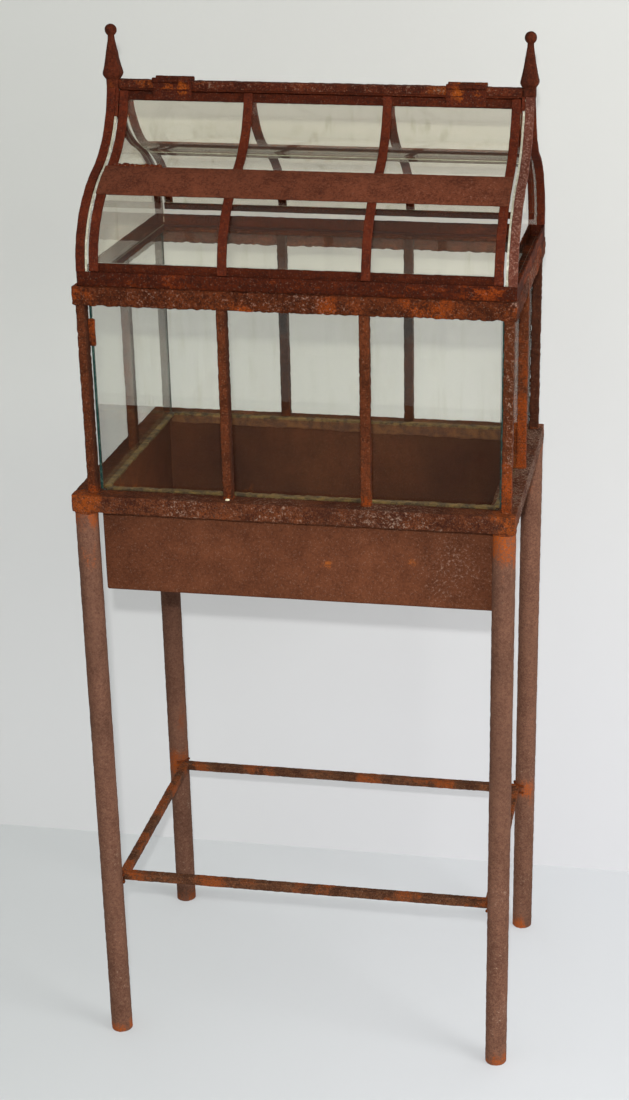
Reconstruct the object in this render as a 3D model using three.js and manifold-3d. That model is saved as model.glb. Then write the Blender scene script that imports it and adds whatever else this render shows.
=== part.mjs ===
// A wardian case: a glazed plant case with an ogee roof, on its own four-legged stand.
// It is welded from iron angle, bar, flat and tube. Two roof panels hinge at the ridge,
// and the whole roof lifts off the glazed box.
//
// Lengths are in millimetres. +Z is up, the front faces -Y, and +X is the right-hand end.
// The origin is on the floor, under the middle of the stand.

import * as THREE from "three";
import { mergeVertices } from "three/addons/utils/BufferGeometryUtils.js";
import Module from "manifold-3d";

const wasm = await Module();
wasm.setup();

// Driving dimensions

const stand = {
  length: 610,
  depth: 415,
  height: 873,
  angleHeight: 25,
  ledge: 38,
  steel: 4,
};

const leg = {
  diameter: 32,
  wall: 3,
  sides: 32,
};

const stretcher = {
  bar: 12,
  underside: 256,
  bite: 3,
  fitGap: 0.3,
};

const pan = {
  depth: 147,
  sheet: 2,
  legGap: 1.5,
};

const box = {
  endMargin: 10.5,
  faceMargin: 11,
  shift: 6.4,
  height: 287,
  bar: 12,
  bays: 3,
};

const collar = {
  height: 25,
  width: 25,
  steel: 4,
};

const pane = {
  thickness: 4,
  gap: 0.3,
  topGap: 1,
  endCover: 4.5,
};

const clip = {
  height: 37,
  thickness: 3,
  cover: 4,
  fromTop: 46,
};

const roof = {
  endMargin: 3.5,
  faceMargin: 6,
  shift: 2.7,
  baseFlange: 19,
  baseSteel: 3,
  rise: 227,
  ridgeBar: 12.7,
  ridgeHalfRun: 10,
  ribWidth: 12,
  ribThickness: 5,
  gableGlass: 3,
  gableGlassInset: 3,
  fitGap: 0.2,
};

const panel = {
  sideGap: 6,
  ridgeGap: 1,
  topRailHeight: 11.5,
  bottomRailHeight: 10.5,
  railThickness: 3.5,
  footGap: { front: 1, back: 9 },
  glass: 3,
  glassSideCover: 10,
  glassEdgeGap: 0.5,
  bandWidth: 57,
  bandThickness: 3,
  bandMiddleShare: 0.53,
  paneJoint: 2,
};

const hinge = {
  fromPanelEnd: 73,
  length: 53,
  plate: 2,
  barrelRadius: 3.5,
  pinRadius: 1.5,
  pinGap: 0.35,
  knuckleGap: 0.5,
  barrelGap: 0.3,
  leafLap: 11,
  sides: 20,
};

const finial = {
  inset: 1.6,
  baseWidth: 17,
  baseHeight: 13.5,
  flareWidth: 25,
  flareHeight: 6,
  waistWidth: 14.5,
  waistHeight: 30,
  neckWidth: 9,
  neckHeight: 15.5,
  neckLength: 5.5,
  ballDiameter: 16.5,
  ballSink: 1.5,
  ballSides: 24,
};

// The ogee is two cubic curves end to end, from the ridge to the foot of the roof.
// The shares run outwards over the roof's half depth and up over its rise.

const ogeeRunShares = [0, 0.053, 0.261, 0.454, 0.686, 1, 1];
const ogeeRiseShares = [1, 0.779, 0.625, 0.564, 0.492, 0.302, 0];
const ogeeSteps = 10;

// Places that follow from the dimensions above

const half = (value) => value / 2;
const boxLength = stand.length - 2 * box.endMargin;
const boxDepth = stand.depth - 2 * box.faceMargin;
const collarTop = stand.height + box.height;
const roofLength = boxLength - 2 * roof.endMargin;
const roofDepth = boxDepth - 2 * roof.faceMargin;
const roofX = box.shift + roof.shift;
const ridgeUnderside = collarTop + roof.rise;
const ridgeTop = ridgeUnderside + roof.ridgeBar;
const roofBaseTop = collarTop + roof.baseFlange;
const panelTop = ridgeUnderside - panel.ridgeGap;
const panelLength = roofLength - 2 * (roof.ribWidth + panel.sideGap);
const gableRibX = half(roofLength) - half(roof.ribWidth);
const finialX = gableRibX - finial.inset;
const legReach = half(leg.diameter);
const postX = half(boxLength) - collar.steel - half(box.bar);
const postY = half(boxDepth) - collar.steel - half(box.bar);
const middleBarX = postX / box.bays;

// Finishes

function iron(color, roughness = 0.85) {
  return new THREE.MeshStandardMaterial({ color, roughness, metalness: 0.35 });
}

const finishes = {
  leg: () => iron(0x7a4a33),
  stretcher: () => iron(0x8a4524),
  frame: () => iron(0x7e4326, 0.9),
  pan: () => iron(0x66392a, 0.8),
  bar: () => iron(0x86422a),
  roof: () => iron(0x7c3a22),
  band: () => iron(0x84452f, 0.75),
  finial: () => iron(0x6e3826),
  weld: () => iron(0xa8561f, 0.95),
};

function glass() {
  return new THREE.MeshStandardMaterial({
    color: 0xc9d3c4,
    roughness: 0.08,
    metalness: 0,
    transparent: true,
    opacity: 0.3,
  });
}

// Scene helpers

const wardianCase = new THREE.Group();

function place(name, geometry, material, position = [0, 0, 0]) {
  const mesh = new THREE.Mesh(geometry, material);
  mesh.name = name;
  mesh.position.set(...position);
  wardianCase.add(mesh);
  return mesh;
}

// Solids

function solid(geometry) {
  const bare = geometry.clone();
  bare.deleteAttribute("normal");
  bare.deleteAttribute("uv");
  const merged = mergeVertices(bare);
  return new wasm.Manifold(new wasm.Mesh({
    numProp: 3,
    vertProperties: new Float32Array(merged.attributes.position.array),
    triVerts: new Uint32Array(merged.index.array),
  }));
}

function surface(body) {
  const mesh = body.getMesh();
  const geometry = new THREE.BufferGeometry();
  geometry.setAttribute("position", new THREE.BufferAttribute(mesh.vertProperties, 3));
  geometry.setIndex(new THREE.BufferAttribute(mesh.triVerts, 1));
  geometry.computeVertexNormals();
  return geometry;
}

// A box between two corners.
function slab(low, high) {
  const size = high.map((value, axis) => value - low[axis]);
  const geometry = new THREE.BoxGeometry(...size);
  return geometry.translate(...size.map((value, axis) => low[axis] + half(value)));
}

// A cylinder along X from one place to another.
function rodX(radius, fromX, toX, y, z, sides) {
  const geometry = new THREE.CylinderGeometry(radius, radius, toX - fromX, sides);
  geometry.rotateZ(Math.PI / 2);
  return geometry.translate(half(fromX + toX), y, z);
}

function rectangle(length, depth) {
  const corners = [[-1, -1], [1, -1], [1, 1], [-1, 1]];
  return corners.map(([x, y]) => new THREE.Vector2(x * half(length), y * half(depth)));
}

// A level rectangular ring of a given width of material.
function ring(length, depth, width, low, high) {
  const shape = new THREE.Shape(rectangle(length, depth));
  shape.holes.push(new THREE.Path(rectangle(length - 2 * width, depth - 2 * width)));
  const geometry = new THREE.ExtrudeGeometry(shape, { depth: high - low, bevelEnabled: false });
  return geometry.translate(0, 0, low);
}

// Four lengths of angle iron, mitred and welded into a ring. The upright flange is outside,
// and the level flange runs inwards at the top or at the foot.
function angleRing({ length, depth, width, steel, low, high, levelAtTop }) {
  const upright = solid(ring(length, depth, steel, low, high));
  const levelLow = levelAtTop ? high - steel : low;
  const level = solid(ring(length, depth, width, levelLow, levelLow + steel));
  return surface(upright.add(level));
}

// Stand

function addLegs() {
  const height = stand.height - stand.angleHeight;
  const outer = half(leg.diameter);
  const inner = outer - leg.wall;
  const wall = [[inner, 0], [outer, 0], [outer, height], [inner, height], [inner, 0]];
  const profile = wall.map(([radius, z]) => new THREE.Vector2(radius, z));
  for (const [face, y] of [["front", -1], ["back", 1]]) {
    for (const [end, x] of [["left", -1], ["right", 1]]) {
      const tube = new THREE.LatheGeometry(profile, leg.sides).rotateX(Math.PI / 2);
      const at = [x * (half(stand.length) - legReach), y * (half(stand.depth) - legReach), 0];
      place(`leg_${face}_${end}`, tube, finishes.leg(), at);
    }
  }
}

// The stretchers form a ring inside the legs, and each outer corner is cut to fit its leg.
function addStretchers() {
  const inset = legReach + legReach * Math.SQRT1_2 - stretcher.bite;
  const x = half(stand.length) - inset;
  const y = half(stand.depth) - inset;
  const low = stretcher.underside;
  const high = low + stretcher.bar;
  const legSpace = legReach + stretcher.fitGap;
  const cuts = [-1, 1].flatMap((sideX) => [-1, 1].map((sideY) => {
    const post = new THREE.CylinderGeometry(legSpace, legSpace, stand.height, leg.sides);
    post.rotateX(Math.PI / 2);
    post.translate(
      sideX * (half(stand.length) - legReach),
      sideY * (half(stand.depth) - legReach),
      half(stand.height),
    );
    return solid(post);
  }));
  const cutToLegs = (geometry) => {
    const cut = cuts.reduce((body, post) => body.subtract(post), solid(geometry));
    return surface(cut);
  };
  const material = finishes.stretcher;
  const front = slab([-x, -y, low], [x, -y + stretcher.bar, high]);
  const back = slab([-x, y - stretcher.bar, low], [x, y, high]);
  const inner = y - stretcher.bar;
  const left = slab([-x, -inner, low], [-x + stretcher.bar, inner, high]);
  const right = slab([x - stretcher.bar, -inner, low], [x, inner, high]);
  place("stretcher_front", cutToLegs(front), material());
  place("stretcher_back", cutToLegs(back), material());
  place("stretcher_left", cutToLegs(left), material());
  place("stretcher_right", cutToLegs(right), material());
}

function addBaseFrame() {
  const geometry = angleRing({
    length: stand.length,
    depth: stand.depth,
    width: stand.ledge,
    steel: stand.steel,
    low: stand.height - stand.angleHeight,
    high: stand.height,
    levelAtTop: true,
  });
  place("base_frame", geometry, finishes.frame());
}

// The pan hangs under the ledge of the base frame, just inside the legs.
function addPan() {
  const x = half(stand.length) - leg.diameter - pan.legGap;
  const y = half(stand.depth) - leg.diameter - pan.legGap;
  const rim = stand.height - stand.steel;
  const floor = rim - pan.depth;
  const outside = solid(slab([-x, -y, floor], [x, y, rim]));
  const innerX = x - pan.sheet;
  const innerY = y - pan.sheet;
  const hollow = slab([-innerX, -innerY, floor + pan.sheet], [innerX, innerY, stand.height]);
  place("planter_pan", surface(outside.subtract(solid(hollow))), finishes.pan());
}

// Glazed box

function addCollar() {
  const geometry = angleRing({
    length: boxLength,
    depth: boxDepth,
    width: collar.width,
    steel: collar.steel,
    low: collarTop - collar.height,
    high: collarTop,
    levelAtTop: true,
  });
  place("collar_frame", geometry, finishes.frame(), [box.shift, 0, 0]);
}

// Upright square bars stand on the ledge and run up under the collar.
function addUprights() {
  const places = {
    corner_post_front_left: [-postX, -postY],
    corner_post_front_right: [postX, -postY],
    corner_post_back_left: [-postX, postY],
    corner_post_back_right: [postX, postY],
    front_bar_left: [-middleBarX, -postY],
    front_bar_right: [middleBarX, -postY],
    back_bar_left: [-middleBarX, postY],
    back_bar_right: [middleBarX, postY],
    left_end_bar: [-postX, 0],
    right_end_bar: [postX, 0],
  };
  const height = box.height - collar.steel;
  for (const [name, [barX, barY]] of Object.entries(places)) {
    const bar = new THREE.BoxGeometry(box.bar, box.bar, height);
    place(name, bar, finishes.bar(), [box.shift + barX, barY, stand.height + half(height)]);
  }
}

// The outer faces of the panes lie against the bars. The end panes fit between the others.
function addPanes() {
  const x = postX - half(box.bar) - pane.gap;
  const y = postY - half(box.bar) - pane.gap;
  const low = stand.height;
  const high = collarTop - collar.steel - pane.topGap;
  const width = x - pane.endCover;
  const endDepth = y - pane.thickness - pane.gap;
  const at = [box.shift, 0, 0];
  const face = (side) => slab(
    [-width, Math.min(side * y, side * (y - pane.thickness)), low],
    [width, Math.max(side * y, side * (y - pane.thickness)), high],
  );
  const end = (side) => slab(
    [Math.min(side * x, side * (x - pane.thickness)), -endDepth, low],
    [Math.max(side * x, side * (x - pane.thickness)), endDepth, high],
  );
  place("front_pane", face(-1), glass(), at);
  place("back_pane", face(1), glass(), at);
  place("left_end_pane", end(-1), glass(), at);
  place("right_end_pane", end(1), glass(), at);
}

// A tab welded to the front left post laps over the edge of the front pane.
function addClip() {
  const postFace = -(postX - half(box.bar));
  const paneFace = -(postY - half(box.bar) - pane.gap);
  const paneEdge = postFace + pane.gap + pane.endCover;
  const high = collarTop - clip.fromTop;
  const tab = slab(
    [postFace, paneFace - pane.gap - clip.thickness, high - clip.height],
    [paneEdge + clip.cover, paneFace - pane.gap, high],
  );
  place("glass_clip", tab, finishes.weld(), [box.shift, 0, 0]);
}

// Roof profile

function ogeeCurves() {
  const run = half(roofDepth) - roof.ridgeHalfRun;
  const rise = ridgeUnderside - roofBaseTop;
  const points = ogeeRunShares.map((share, index) => new THREE.Vector2(
    roof.ridgeHalfRun + share * run,
    roofBaseTop + ogeeRiseShares[index] * rise,
  ));
  const upper = new THREE.CubicBezierCurve(...points.slice(0, 4));
  const lower = new THREE.CubicBezierCurve(...points.slice(3));
  return [upper, lower];
}

// Stations along the ogee: how far out and up, and the way that faces outwards.
function ogeeStations() {
  const stations = [];
  ogeeCurves().forEach((curve, part) => {
    for (let step = Math.min(part, 1); step <= ogeeSteps; step += 1) {
      const point = curve.getPoint(step / ogeeSteps);
      const tangent = curve.getTangent(step / ogeeSteps);
      stations.push({ out: point.x, up: point.y, normalOut: -tangent.y, normalUp: tangent.x });
    }
  });
  let length = 0;
  stations.forEach((station, index) => {
    const before = stations[Math.max(index - 1, 0)];
    length += Math.hypot(station.out - before.out, station.up - before.up);
    station.length = length;
  });
  return stations;
}

const ogee = ogeeStations();
const ogeeLength = ogee[ogee.length - 1].length;

// The station at a value of one of its measures, which falls or grows steadily.
function stationAt(measure, value) {
  const rising = ogee[ogee.length - 1][measure] > ogee[0][measure];
  const passed = (station) => (rising ? station[measure] >= value : station[measure] <= value);
  const found = ogee.findIndex(passed);
  const index = Math.max(found < 0 ? ogee.length - 1 : found, 1);
  const before = ogee[index - 1];
  const after = ogee[index];
  const share = (value - before[measure]) / (after[measure] - before[measure]);
  const mix = (key) => before[key] + share * (after[key] - before[key]);
  return Object.fromEntries(Object.keys(after).map((key) => [key, mix(key)]));
}

const lengthAtHeight = (height) => stationAt("up", height).length;

// A line that follows the ogee between two lengths, at a depth under it. Every line turns at
// the same stations, so pieces that lie on each other have matching faces.
function ogeeLine(from, to, depth) {
  const between = ogee.filter(({ length }) => length > from && length < to);
  const stations = [stationAt("length", from), ...between, stationAt("length", to)];
  return stations.map(({ out, up, normalOut, normalUp }) => (
    [out - depth * normalOut, up - depth * normalUp]
  ));
}

function ogeeStrip(from, to, outerDepth, innerDepth) {
  return [...ogeeLine(from, to, outerDepth), ...ogeeLine(from, to, innerDepth).reverse()];
}

// An outline in (out, up), on the front (-1) or the back (1), carried from one X to another.
function across(outline, side, fromX, toX) {
  const shape = new THREE.Shape(outline.map(([out, up]) => new THREE.Vector2(side * out, up)));
  const geometry = new THREE.ExtrudeGeometry(shape, { depth: toX - fromX, bevelEnabled: false });
  const basis = new THREE.Matrix4().makeBasis(
    new THREE.Vector3(0, 1, 0),
    new THREE.Vector3(0, 0, 1),
    new THREE.Vector3(1, 0, 0),
  );
  geometry.applyMatrix4(basis);
  return geometry.translate(roofX + fromX, 0, 0);
}

const faces = [["front", -1], ["back", 1]];
const ends = [["left", -1], ["right", 1]];

// Fixed roof

function addRoofBase() {
  const geometry = angleRing({
    length: roofLength,
    depth: roofDepth,
    width: roof.baseFlange,
    steel: roof.baseSteel,
    low: collarTop,
    high: roofBaseTop,
    levelAtTop: false,
  });
  place("roof_base_frame", geometry, finishes.roof(), [roofX, 0, 0]);
}

function addGableRibs() {
  const outline = ogeeStrip(0, ogeeLength, 0, roof.ribThickness);
  for (const [end, endSide] of ends) {
    for (const [face, side] of faces) {
      const x = endSide * gableRibX;
      const rib = across(outline, side, x - half(roof.ribWidth), x + half(roof.ribWidth));
      place(`gable_rib_${face}_${end}`, rib, finishes.roof());
    }
  }
}

// Each gable pane stands on the level flange of the roof's base, against the ribs.
function addGablePanes() {
  const edge = ogeeLine(0, ogeeLength, roof.gableGlassInset);
  const top = ridgeUnderside - panel.ridgeGap;
  const inside = edge.filter(([, up]) => up < top);
  const foot = collarTop + roof.baseSteel;
  const footOut = half(roofDepth) - roof.gableGlassInset;
  const shoulder = edge[0][0];
  const side = [[shoulder, top], ...inside, [footOut, foot]];
  const mirrored = side.map(([out, up]) => [-out, up]).reverse();
  for (const [end, endSide] of ends) {
    const outer = endSide * (half(roofLength) - roof.ribWidth);
    const inner = outer - endSide * roof.gableGlass;
    const sheet = across([...side, ...mirrored], 1, Math.min(outer, inner), Math.max(outer, inner));
    place(`gable_pane_${end}`, sheet, glass());
  }
}

function addRidgeBar() {
  const x = finialX - half(finial.baseWidth);
  const y = half(roof.ridgeBar);
  const bar = slab([roofX - x, -y, ridgeUnderside], [roofX + x, y, ridgeTop]);
  place("ridge_bar", bar, finishes.roof());
}

// A square spear with a ball, standing where a pair of gable ribs meets the ridge.
function finialGeometry() {
  const sections = [
    [0, finial.baseWidth],
    [finial.baseHeight, finial.baseWidth],
    [finial.flareHeight, finial.flareWidth],
    [finial.waistHeight, finial.waistWidth],
    [finial.neckHeight, finial.neckWidth],
    [finial.neckLength, finial.neckWidth],
  ];
  const profile = [new THREE.Vector2(0, 0)];
  let height = 0;
  for (const [rise, width] of sections) {
    height += rise;
    profile.push(new THREE.Vector2(half(width) * Math.SQRT2, height));
  }
  const radius = half(finial.ballDiameter);
  const neckTop = height + finial.ballSink;
  profile.push(new THREE.Vector2(half(finial.neckWidth) * Math.SQRT2, neckTop));
  profile.push(new THREE.Vector2(0, neckTop));
  const spear = new THREE.LatheGeometry(profile, 4, Math.PI / 4).rotateX(Math.PI / 2);
  const ball = new THREE.SphereGeometry(radius, finial.ballSides, half(finial.ballSides));
  ball.translate(0, 0, height + radius - finial.ballSink);
  return surface(solid(spear).add(solid(ball)));
}

function addFinials() {
  for (const [end, endSide] of ends) {
    const at = [roofX + endSide * finialX, 0, ridgeUnderside];
    place(`finial_${end}`, finialGeometry(), finishes.finial(), at);
  }
}

// Hinges

const hingeAxis = {
  y: half(roof.ridgeBar) + hinge.barrelGap + hinge.barrelRadius,
  z: ridgeTop + half(hinge.plate),
};
const hingeX = half(panelLength) - hinge.fromPanelEnd;
const knuckle = (hinge.length - 2 * hinge.knuckleGap) / 3;

// A plate over the ridge with a solid knuckle and a pin along each long edge.
function addHingePlates() {
  const reach = half(hinge.length);
  const halfKnuckle = half(knuckle);
  for (const [end, endSide] of ends) {
    const x = roofX + endSide * hingeX;
    const y = half(roof.ridgeBar);
    const top = ridgeTop + hinge.plate;
    let plate = solid(slab([x - reach, -y, ridgeTop], [x + reach, y, top]));
    for (const [, side] of faces) {
      const axisY = side * hingeAxis.y;
      const low = Math.min(0, axisY);
      const high = Math.max(0, axisY);
      const tongue = slab([x - halfKnuckle, low, ridgeTop], [x + halfKnuckle, high, top]);
      const barrel = rodX(
        hinge.barrelRadius, x - halfKnuckle, x + halfKnuckle, axisY, hingeAxis.z, hinge.sides,
      );
      const pin = rodX(hinge.pinRadius, x - reach, x + reach, axisY, hingeAxis.z, hinge.sides);
      const overRidge = slab([x - reach, -y, ridgeUnderside], [x + reach, y, ridgeTop]);
      plate = plate.add(solid(tongue)).add(solid(barrel)).add(solid(pin));
      plate = plate.subtract(solid(overRidge));
    }
    place(`hinge_plate_${end}`, surface(plate), finishes.weld());
  }
}

// A leaf turns on the pin with two knuckles and hangs down over the panel's top rail.
function addHingeLeaves() {
  const reach = half(hinge.length);
  const inner = half(knuckle) + hinge.knuckleGap;
  const bore = hinge.pinRadius + hinge.pinGap;
  const lapEnd = stationAt("up", panelTop - panel.topRailHeight);
  const railFace = lapEnd.out - roof.ribThickness * lapEnd.normalOut;
  const back = Math.max(railFace, half(roof.ridgeBar) + hinge.barrelGap);
  const bottom = panelTop - hinge.leafLap;
  for (const [end, endSide] of ends) {
    for (const [face, side] of faces) {
      const x = roofX + endSide * hingeX;
      const axisY = side * hingeAxis.y;
      const sheet = [side * back, side * (back + hinge.plate)];
      let leaf = solid(slab(
        [x - reach, Math.min(...sheet), bottom],
        [x + reach, Math.max(...sheet), hingeAxis.z - bore],
      ));
      const clear = hinge.barrelRadius + hinge.barrelGap;
      const opening = rodX(clear, x - inner, x + inner, axisY, hingeAxis.z, hinge.sides);
      leaf = leaf.subtract(solid(opening));
      for (const [from, to] of [[-reach, -inner], [inner, reach]]) {
        const tube = rodX(
          hinge.barrelRadius, x + from, x + to, axisY, hingeAxis.z, hinge.sides,
        );
        leaf = leaf.add(solid(tube));
      }
      const hole = rodX(
        bore, x - hinge.length, x + hinge.length, axisY, hingeAxis.z, hinge.sides,
      );
      place(`hinge_leaf_${face}_${end}`, surface(leaf.subtract(solid(hole))), finishes.weld());
    }
  }
}

// Roof panels

// A panel is four curved ribs over two level rails, with bent glass between the rails,
// and a wide flat band outside that covers the joint between the two panes.
function addPanel(face, side) {
  const top = lengthAtHeight(panelTop);
  const foot = lengthAtHeight(roofBaseTop + panel.footGap[face]);
  const reach = half(panelLength);
  const ribHalf = half(roof.ribWidth);
  const under = roof.ribThickness + roof.fitGap;

  const ribOutline = ogeeStrip(top, foot, 0, roof.ribThickness);
  const ribPlaces = {
    side_rib_left: -reach + ribHalf,
    middle_rib_left: -middleBarX,
    middle_rib_right: middleBarX,
    side_rib_right: reach - ribHalf,
  };
  for (const [name, x] of Object.entries(ribPlaces)) {
    const rib = across(ribOutline, side, x - ribHalf, x + ribHalf);
    place(`${face}_${name}`, rib, finishes.roof());
  }

  const railTop = top + panel.topRailHeight;
  const railFoot = foot - panel.bottomRailHeight;
  const rails = { top_rail: [top, railTop], bottom_rail: [railFoot, foot] };
  for (const [name, [from, to]] of Object.entries(rails)) {
    const outline = ogeeStrip(from, to, under, under + panel.railThickness);
    place(`${face}_${name}`, across(outline, side, -reach, reach), finishes.roof());
  }

  const middle = top + panel.bandMiddleShare * (foot - top);
  const bandFrom = middle - half(panel.bandWidth);
  const bandTo = middle + half(panel.bandWidth);
  const bandUnderside = -roof.fitGap;
  const band = ogeeStrip(bandFrom, bandTo, bandUnderside - panel.bandThickness, bandUnderside);
  place(`${face}_middle_band`, across(band, side, -reach, reach), finishes.band());

  const glassReach = reach - roof.ribWidth + panel.glassSideCover;
  const joint = half(panel.paneJoint);
  const sheets = {
    upper_pane: [railTop + panel.glassEdgeGap, middle - joint],
    lower_pane: [middle + joint, railFoot - panel.glassEdgeGap],
  };
  for (const [name, [from, to]] of Object.entries(sheets)) {
    const outline = ogeeStrip(from, to, under, under + panel.glass);
    place(`${face}_${name}`, across(outline, side, -glassReach, glassReach), glass());
  }
}

addLegs();
addStretchers();
addBaseFrame();
addPan();
addUprights();
addPanes();
addClip();
addCollar();
addRoofBase();
addGableRibs();
addGablePanes();
addRidgeBar();
addFinials();
addHingePlates();
addHingeLeaves();
for (const [face, side] of faces) {
  addPanel(face, side);
}

export default wardianCase;
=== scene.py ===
"""A glazed plant case on its own tall stand, in rusted iron and old glass.

The case stands on four tube legs. A glazed box with a planting pan carries a loose roof,
whose two bent and glazed panels hinge at the ridge. Sizes in this file are millimetres,
and each mesh is turned into metres when it is made.
"""

import logging
import math
from dataclasses import dataclass, field
from enum import Enum
from typing import Iterable, Sequence

import bpy
import numpy as np
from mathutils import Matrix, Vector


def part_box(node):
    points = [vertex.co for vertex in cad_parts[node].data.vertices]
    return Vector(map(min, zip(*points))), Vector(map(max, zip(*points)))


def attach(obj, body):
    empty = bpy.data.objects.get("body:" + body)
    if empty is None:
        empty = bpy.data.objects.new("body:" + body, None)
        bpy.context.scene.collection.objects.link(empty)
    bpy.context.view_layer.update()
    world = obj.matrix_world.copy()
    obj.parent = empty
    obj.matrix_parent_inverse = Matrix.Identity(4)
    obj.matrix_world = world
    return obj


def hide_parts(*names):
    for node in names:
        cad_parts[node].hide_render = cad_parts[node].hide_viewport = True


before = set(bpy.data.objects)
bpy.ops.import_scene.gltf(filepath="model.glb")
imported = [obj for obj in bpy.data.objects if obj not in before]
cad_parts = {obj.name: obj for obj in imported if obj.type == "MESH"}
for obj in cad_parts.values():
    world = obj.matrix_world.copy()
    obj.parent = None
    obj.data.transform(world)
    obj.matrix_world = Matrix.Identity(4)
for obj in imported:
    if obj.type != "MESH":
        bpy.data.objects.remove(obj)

log = logging.getLogger("wardian_case")
METRE = 0.001
Spot = tuple[float, float, float, float, float]


class Body(Enum):
    """The bodies that pieces ride on."""

    CASE = "case"
    ROOF = "roof"
    FRONT_PANEL = "front_panel"
    BACK_PANEL = "back_panel"


class Side(Enum):
    """The front and the back of the case, by the sign of Y."""

    FRONT = -1
    BACK = 1

    @property
    def word(self) -> str:
        """The side's name inside a piece's name."""
        return self.name.lower()


class End(Enum):
    """The left and the right end of the case, by the sign of X."""

    LEFT = -1
    RIGHT = 1

    @property
    def word(self) -> str:
        """The end's name inside a piece's name."""
        return self.name.lower()


CORNERS = tuple((side, end) for side in Side for end in End)


# Noise and masks

TABLE_SIZE = 4096
CELL_PRIMES = np.array([73856093, 19349663, 83492791])
OCTAVE_GAIN = 0.55
OCTAVE_SEED = 101
TINY = 1e-9


def smooth_step(value: np.ndarray, low: float, high: float) -> np.ndarray:
    """An S-curve from 0 at low to 1 at high: t squared times (3 - 2t)."""
    share = np.clip((value - low) / (high - low), 0.0, 1.0)
    return share * share * (3.0 - 2.0 * share)


def lattice_noise(points: np.ndarray, size: float, seed: int) -> np.ndarray:
    """Smooth noise from 0 to 1.

    Random numbers sit at the corners of a cubic lattice, and a point takes the blend of the
    eight corners round it, with an S-curve along each axis.

    Args:
        points: Places, one row each, in millimetres.
        size: The lattice's cell, in millimetres.
        seed: Picks the random numbers.

    Returns:
        One number for each point.
    """
    table = np.random.default_rng(seed).random(TABLE_SIZE)
    place = points / size + TABLE_SIZE
    cell = np.floor(place).astype(np.int64)
    part = place - cell
    part = part * part * (3.0 - 2.0 * part)
    total = np.zeros(len(points))
    for corner in np.ndindex(2, 2, 2):
        at = (cell + np.array(corner)) * CELL_PRIMES
        key = (at[:, 0] ^ at[:, 1] ^ at[:, 2]) & (TABLE_SIZE - 1)
        weight = np.prod(np.where(corner, part, 1.0 - part), axis=1)
        total += weight * table[key]
    return total


def fractal_noise(points: np.ndarray, size: float, seed: int, octaves: int = 3) -> np.ndarray:
    """Noise of several sizes: each octave is half as large and adds a little over half as much.

    Args:
        points: Places, one row each, in millimetres.
        size: The largest cell, in millimetres.
        seed: Picks the random numbers.
        octaves: How many sizes are added.

    Returns:
        One number from 0 to 1 for each point.
    """
    gains = OCTAVE_GAIN ** np.arange(octaves)
    parts = [
        gain * lattice_noise(points, size / 2**octave, seed + OCTAVE_SEED * octave)
        for octave, gain in enumerate(gains)
    ]
    return np.sum(parts, axis=0) / gains.sum()


def spot_mask(points: np.ndarray, spots: Sequence[Spot]) -> np.ndarray:
    """The strongest of several round spots, each falling off as a bell curve.

    Args:
        points: Places, one row each, in millimetres.
        spots: Centre x, y, z, radius and strength of each spot.

    Returns:
        One number for each point.
    """
    if not spots:
        return np.zeros(len(points))
    data = np.array(spots)
    away = np.linalg.norm(points[:, None, :] - data[None, :, :3], axis=2)
    return (data[:, 4] * np.exp(-((away / data[:, 3]) ** 2))).max(axis=1)


def unit(vectors: np.ndarray) -> np.ndarray:
    """The vectors at a length of 1. One of no length stays as it is."""
    return vectors / np.maximum(np.linalg.norm(vectors, axis=-1, keepdims=True), TINY)


def shortened(vectors: np.ndarray, most: float) -> np.ndarray:
    """The vectors, with each that is longer than a length cut down to it."""
    reach = np.linalg.norm(vectors, axis=-1, keepdims=True)
    return vectors * np.minimum(1.0, most / np.maximum(reach, TINY))


def full_turn(count: int) -> np.ndarray:
    """The angles of one full turn in equal steps, without its end."""
    return np.linspace(0, 2 * np.pi, count, endpoint=False)


# Shells

# Where the close steps near an edge lie, in radii of that edge.
EDGE_STEPS = np.array([0.0, 0.3, 0.65, 1.0, 2.0])


@dataclass
class Shell:
    """A closed surface: points in millimetres, and faces with four corners.

    It may say each face's material slot, how eaten each point is, and its painted shade and grime.
    """

    points: np.ndarray
    quads: np.ndarray
    slots: np.ndarray | None = None
    pits: np.ndarray | None = None
    dims: np.ndarray | None = None

    def face_vectors(self) -> np.ndarray:
        """A vector square to each face: its two diagonals multiplied."""
        a, b, c, d = (self.points[self.quads[:, k]] for k in range(4))
        return np.cross(c - a, d - b)

    def normals(self) -> np.ndarray:
        """Unit normals at the points, from the sum of the faces round each.

        Returns:
            One vector for each point.
        """
        face = self.face_vectors()
        total = np.zeros_like(self.points)
        for k in range(4):
            np.add.at(total, self.quads[:, k], face)
        return unit(total)

    def welded(self) -> "Shell":
        """Makes points at the same place one.

        Returns:
            The same shell.
        """
        _, first, place = np.unique(
            np.round(self.points, 4), axis=0, return_index=True, return_inverse=True
        )
        self.points = self.points[first]
        self.quads = place.reshape(-1)[self.quads]
        return self

    def outward(self) -> "Shell":
        """Turns the faces outwards, by the sign of the volume that they close.

        Returns:
            The same shell.
        """
        away = self.points[self.quads[:, 0]] - self.points.mean(axis=0)
        volume = np.einsum("ij,ij->i", away, self.face_vectors()).sum()
        if volume < 0:
            self.quads = self.quads[:, ::-1]
        return self

    def moved(self, offset: Sequence[float]) -> "Shell":
        """The same shell at another place."""
        self.points = self.points + np.array(offset, dtype=float)
        return self


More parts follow.
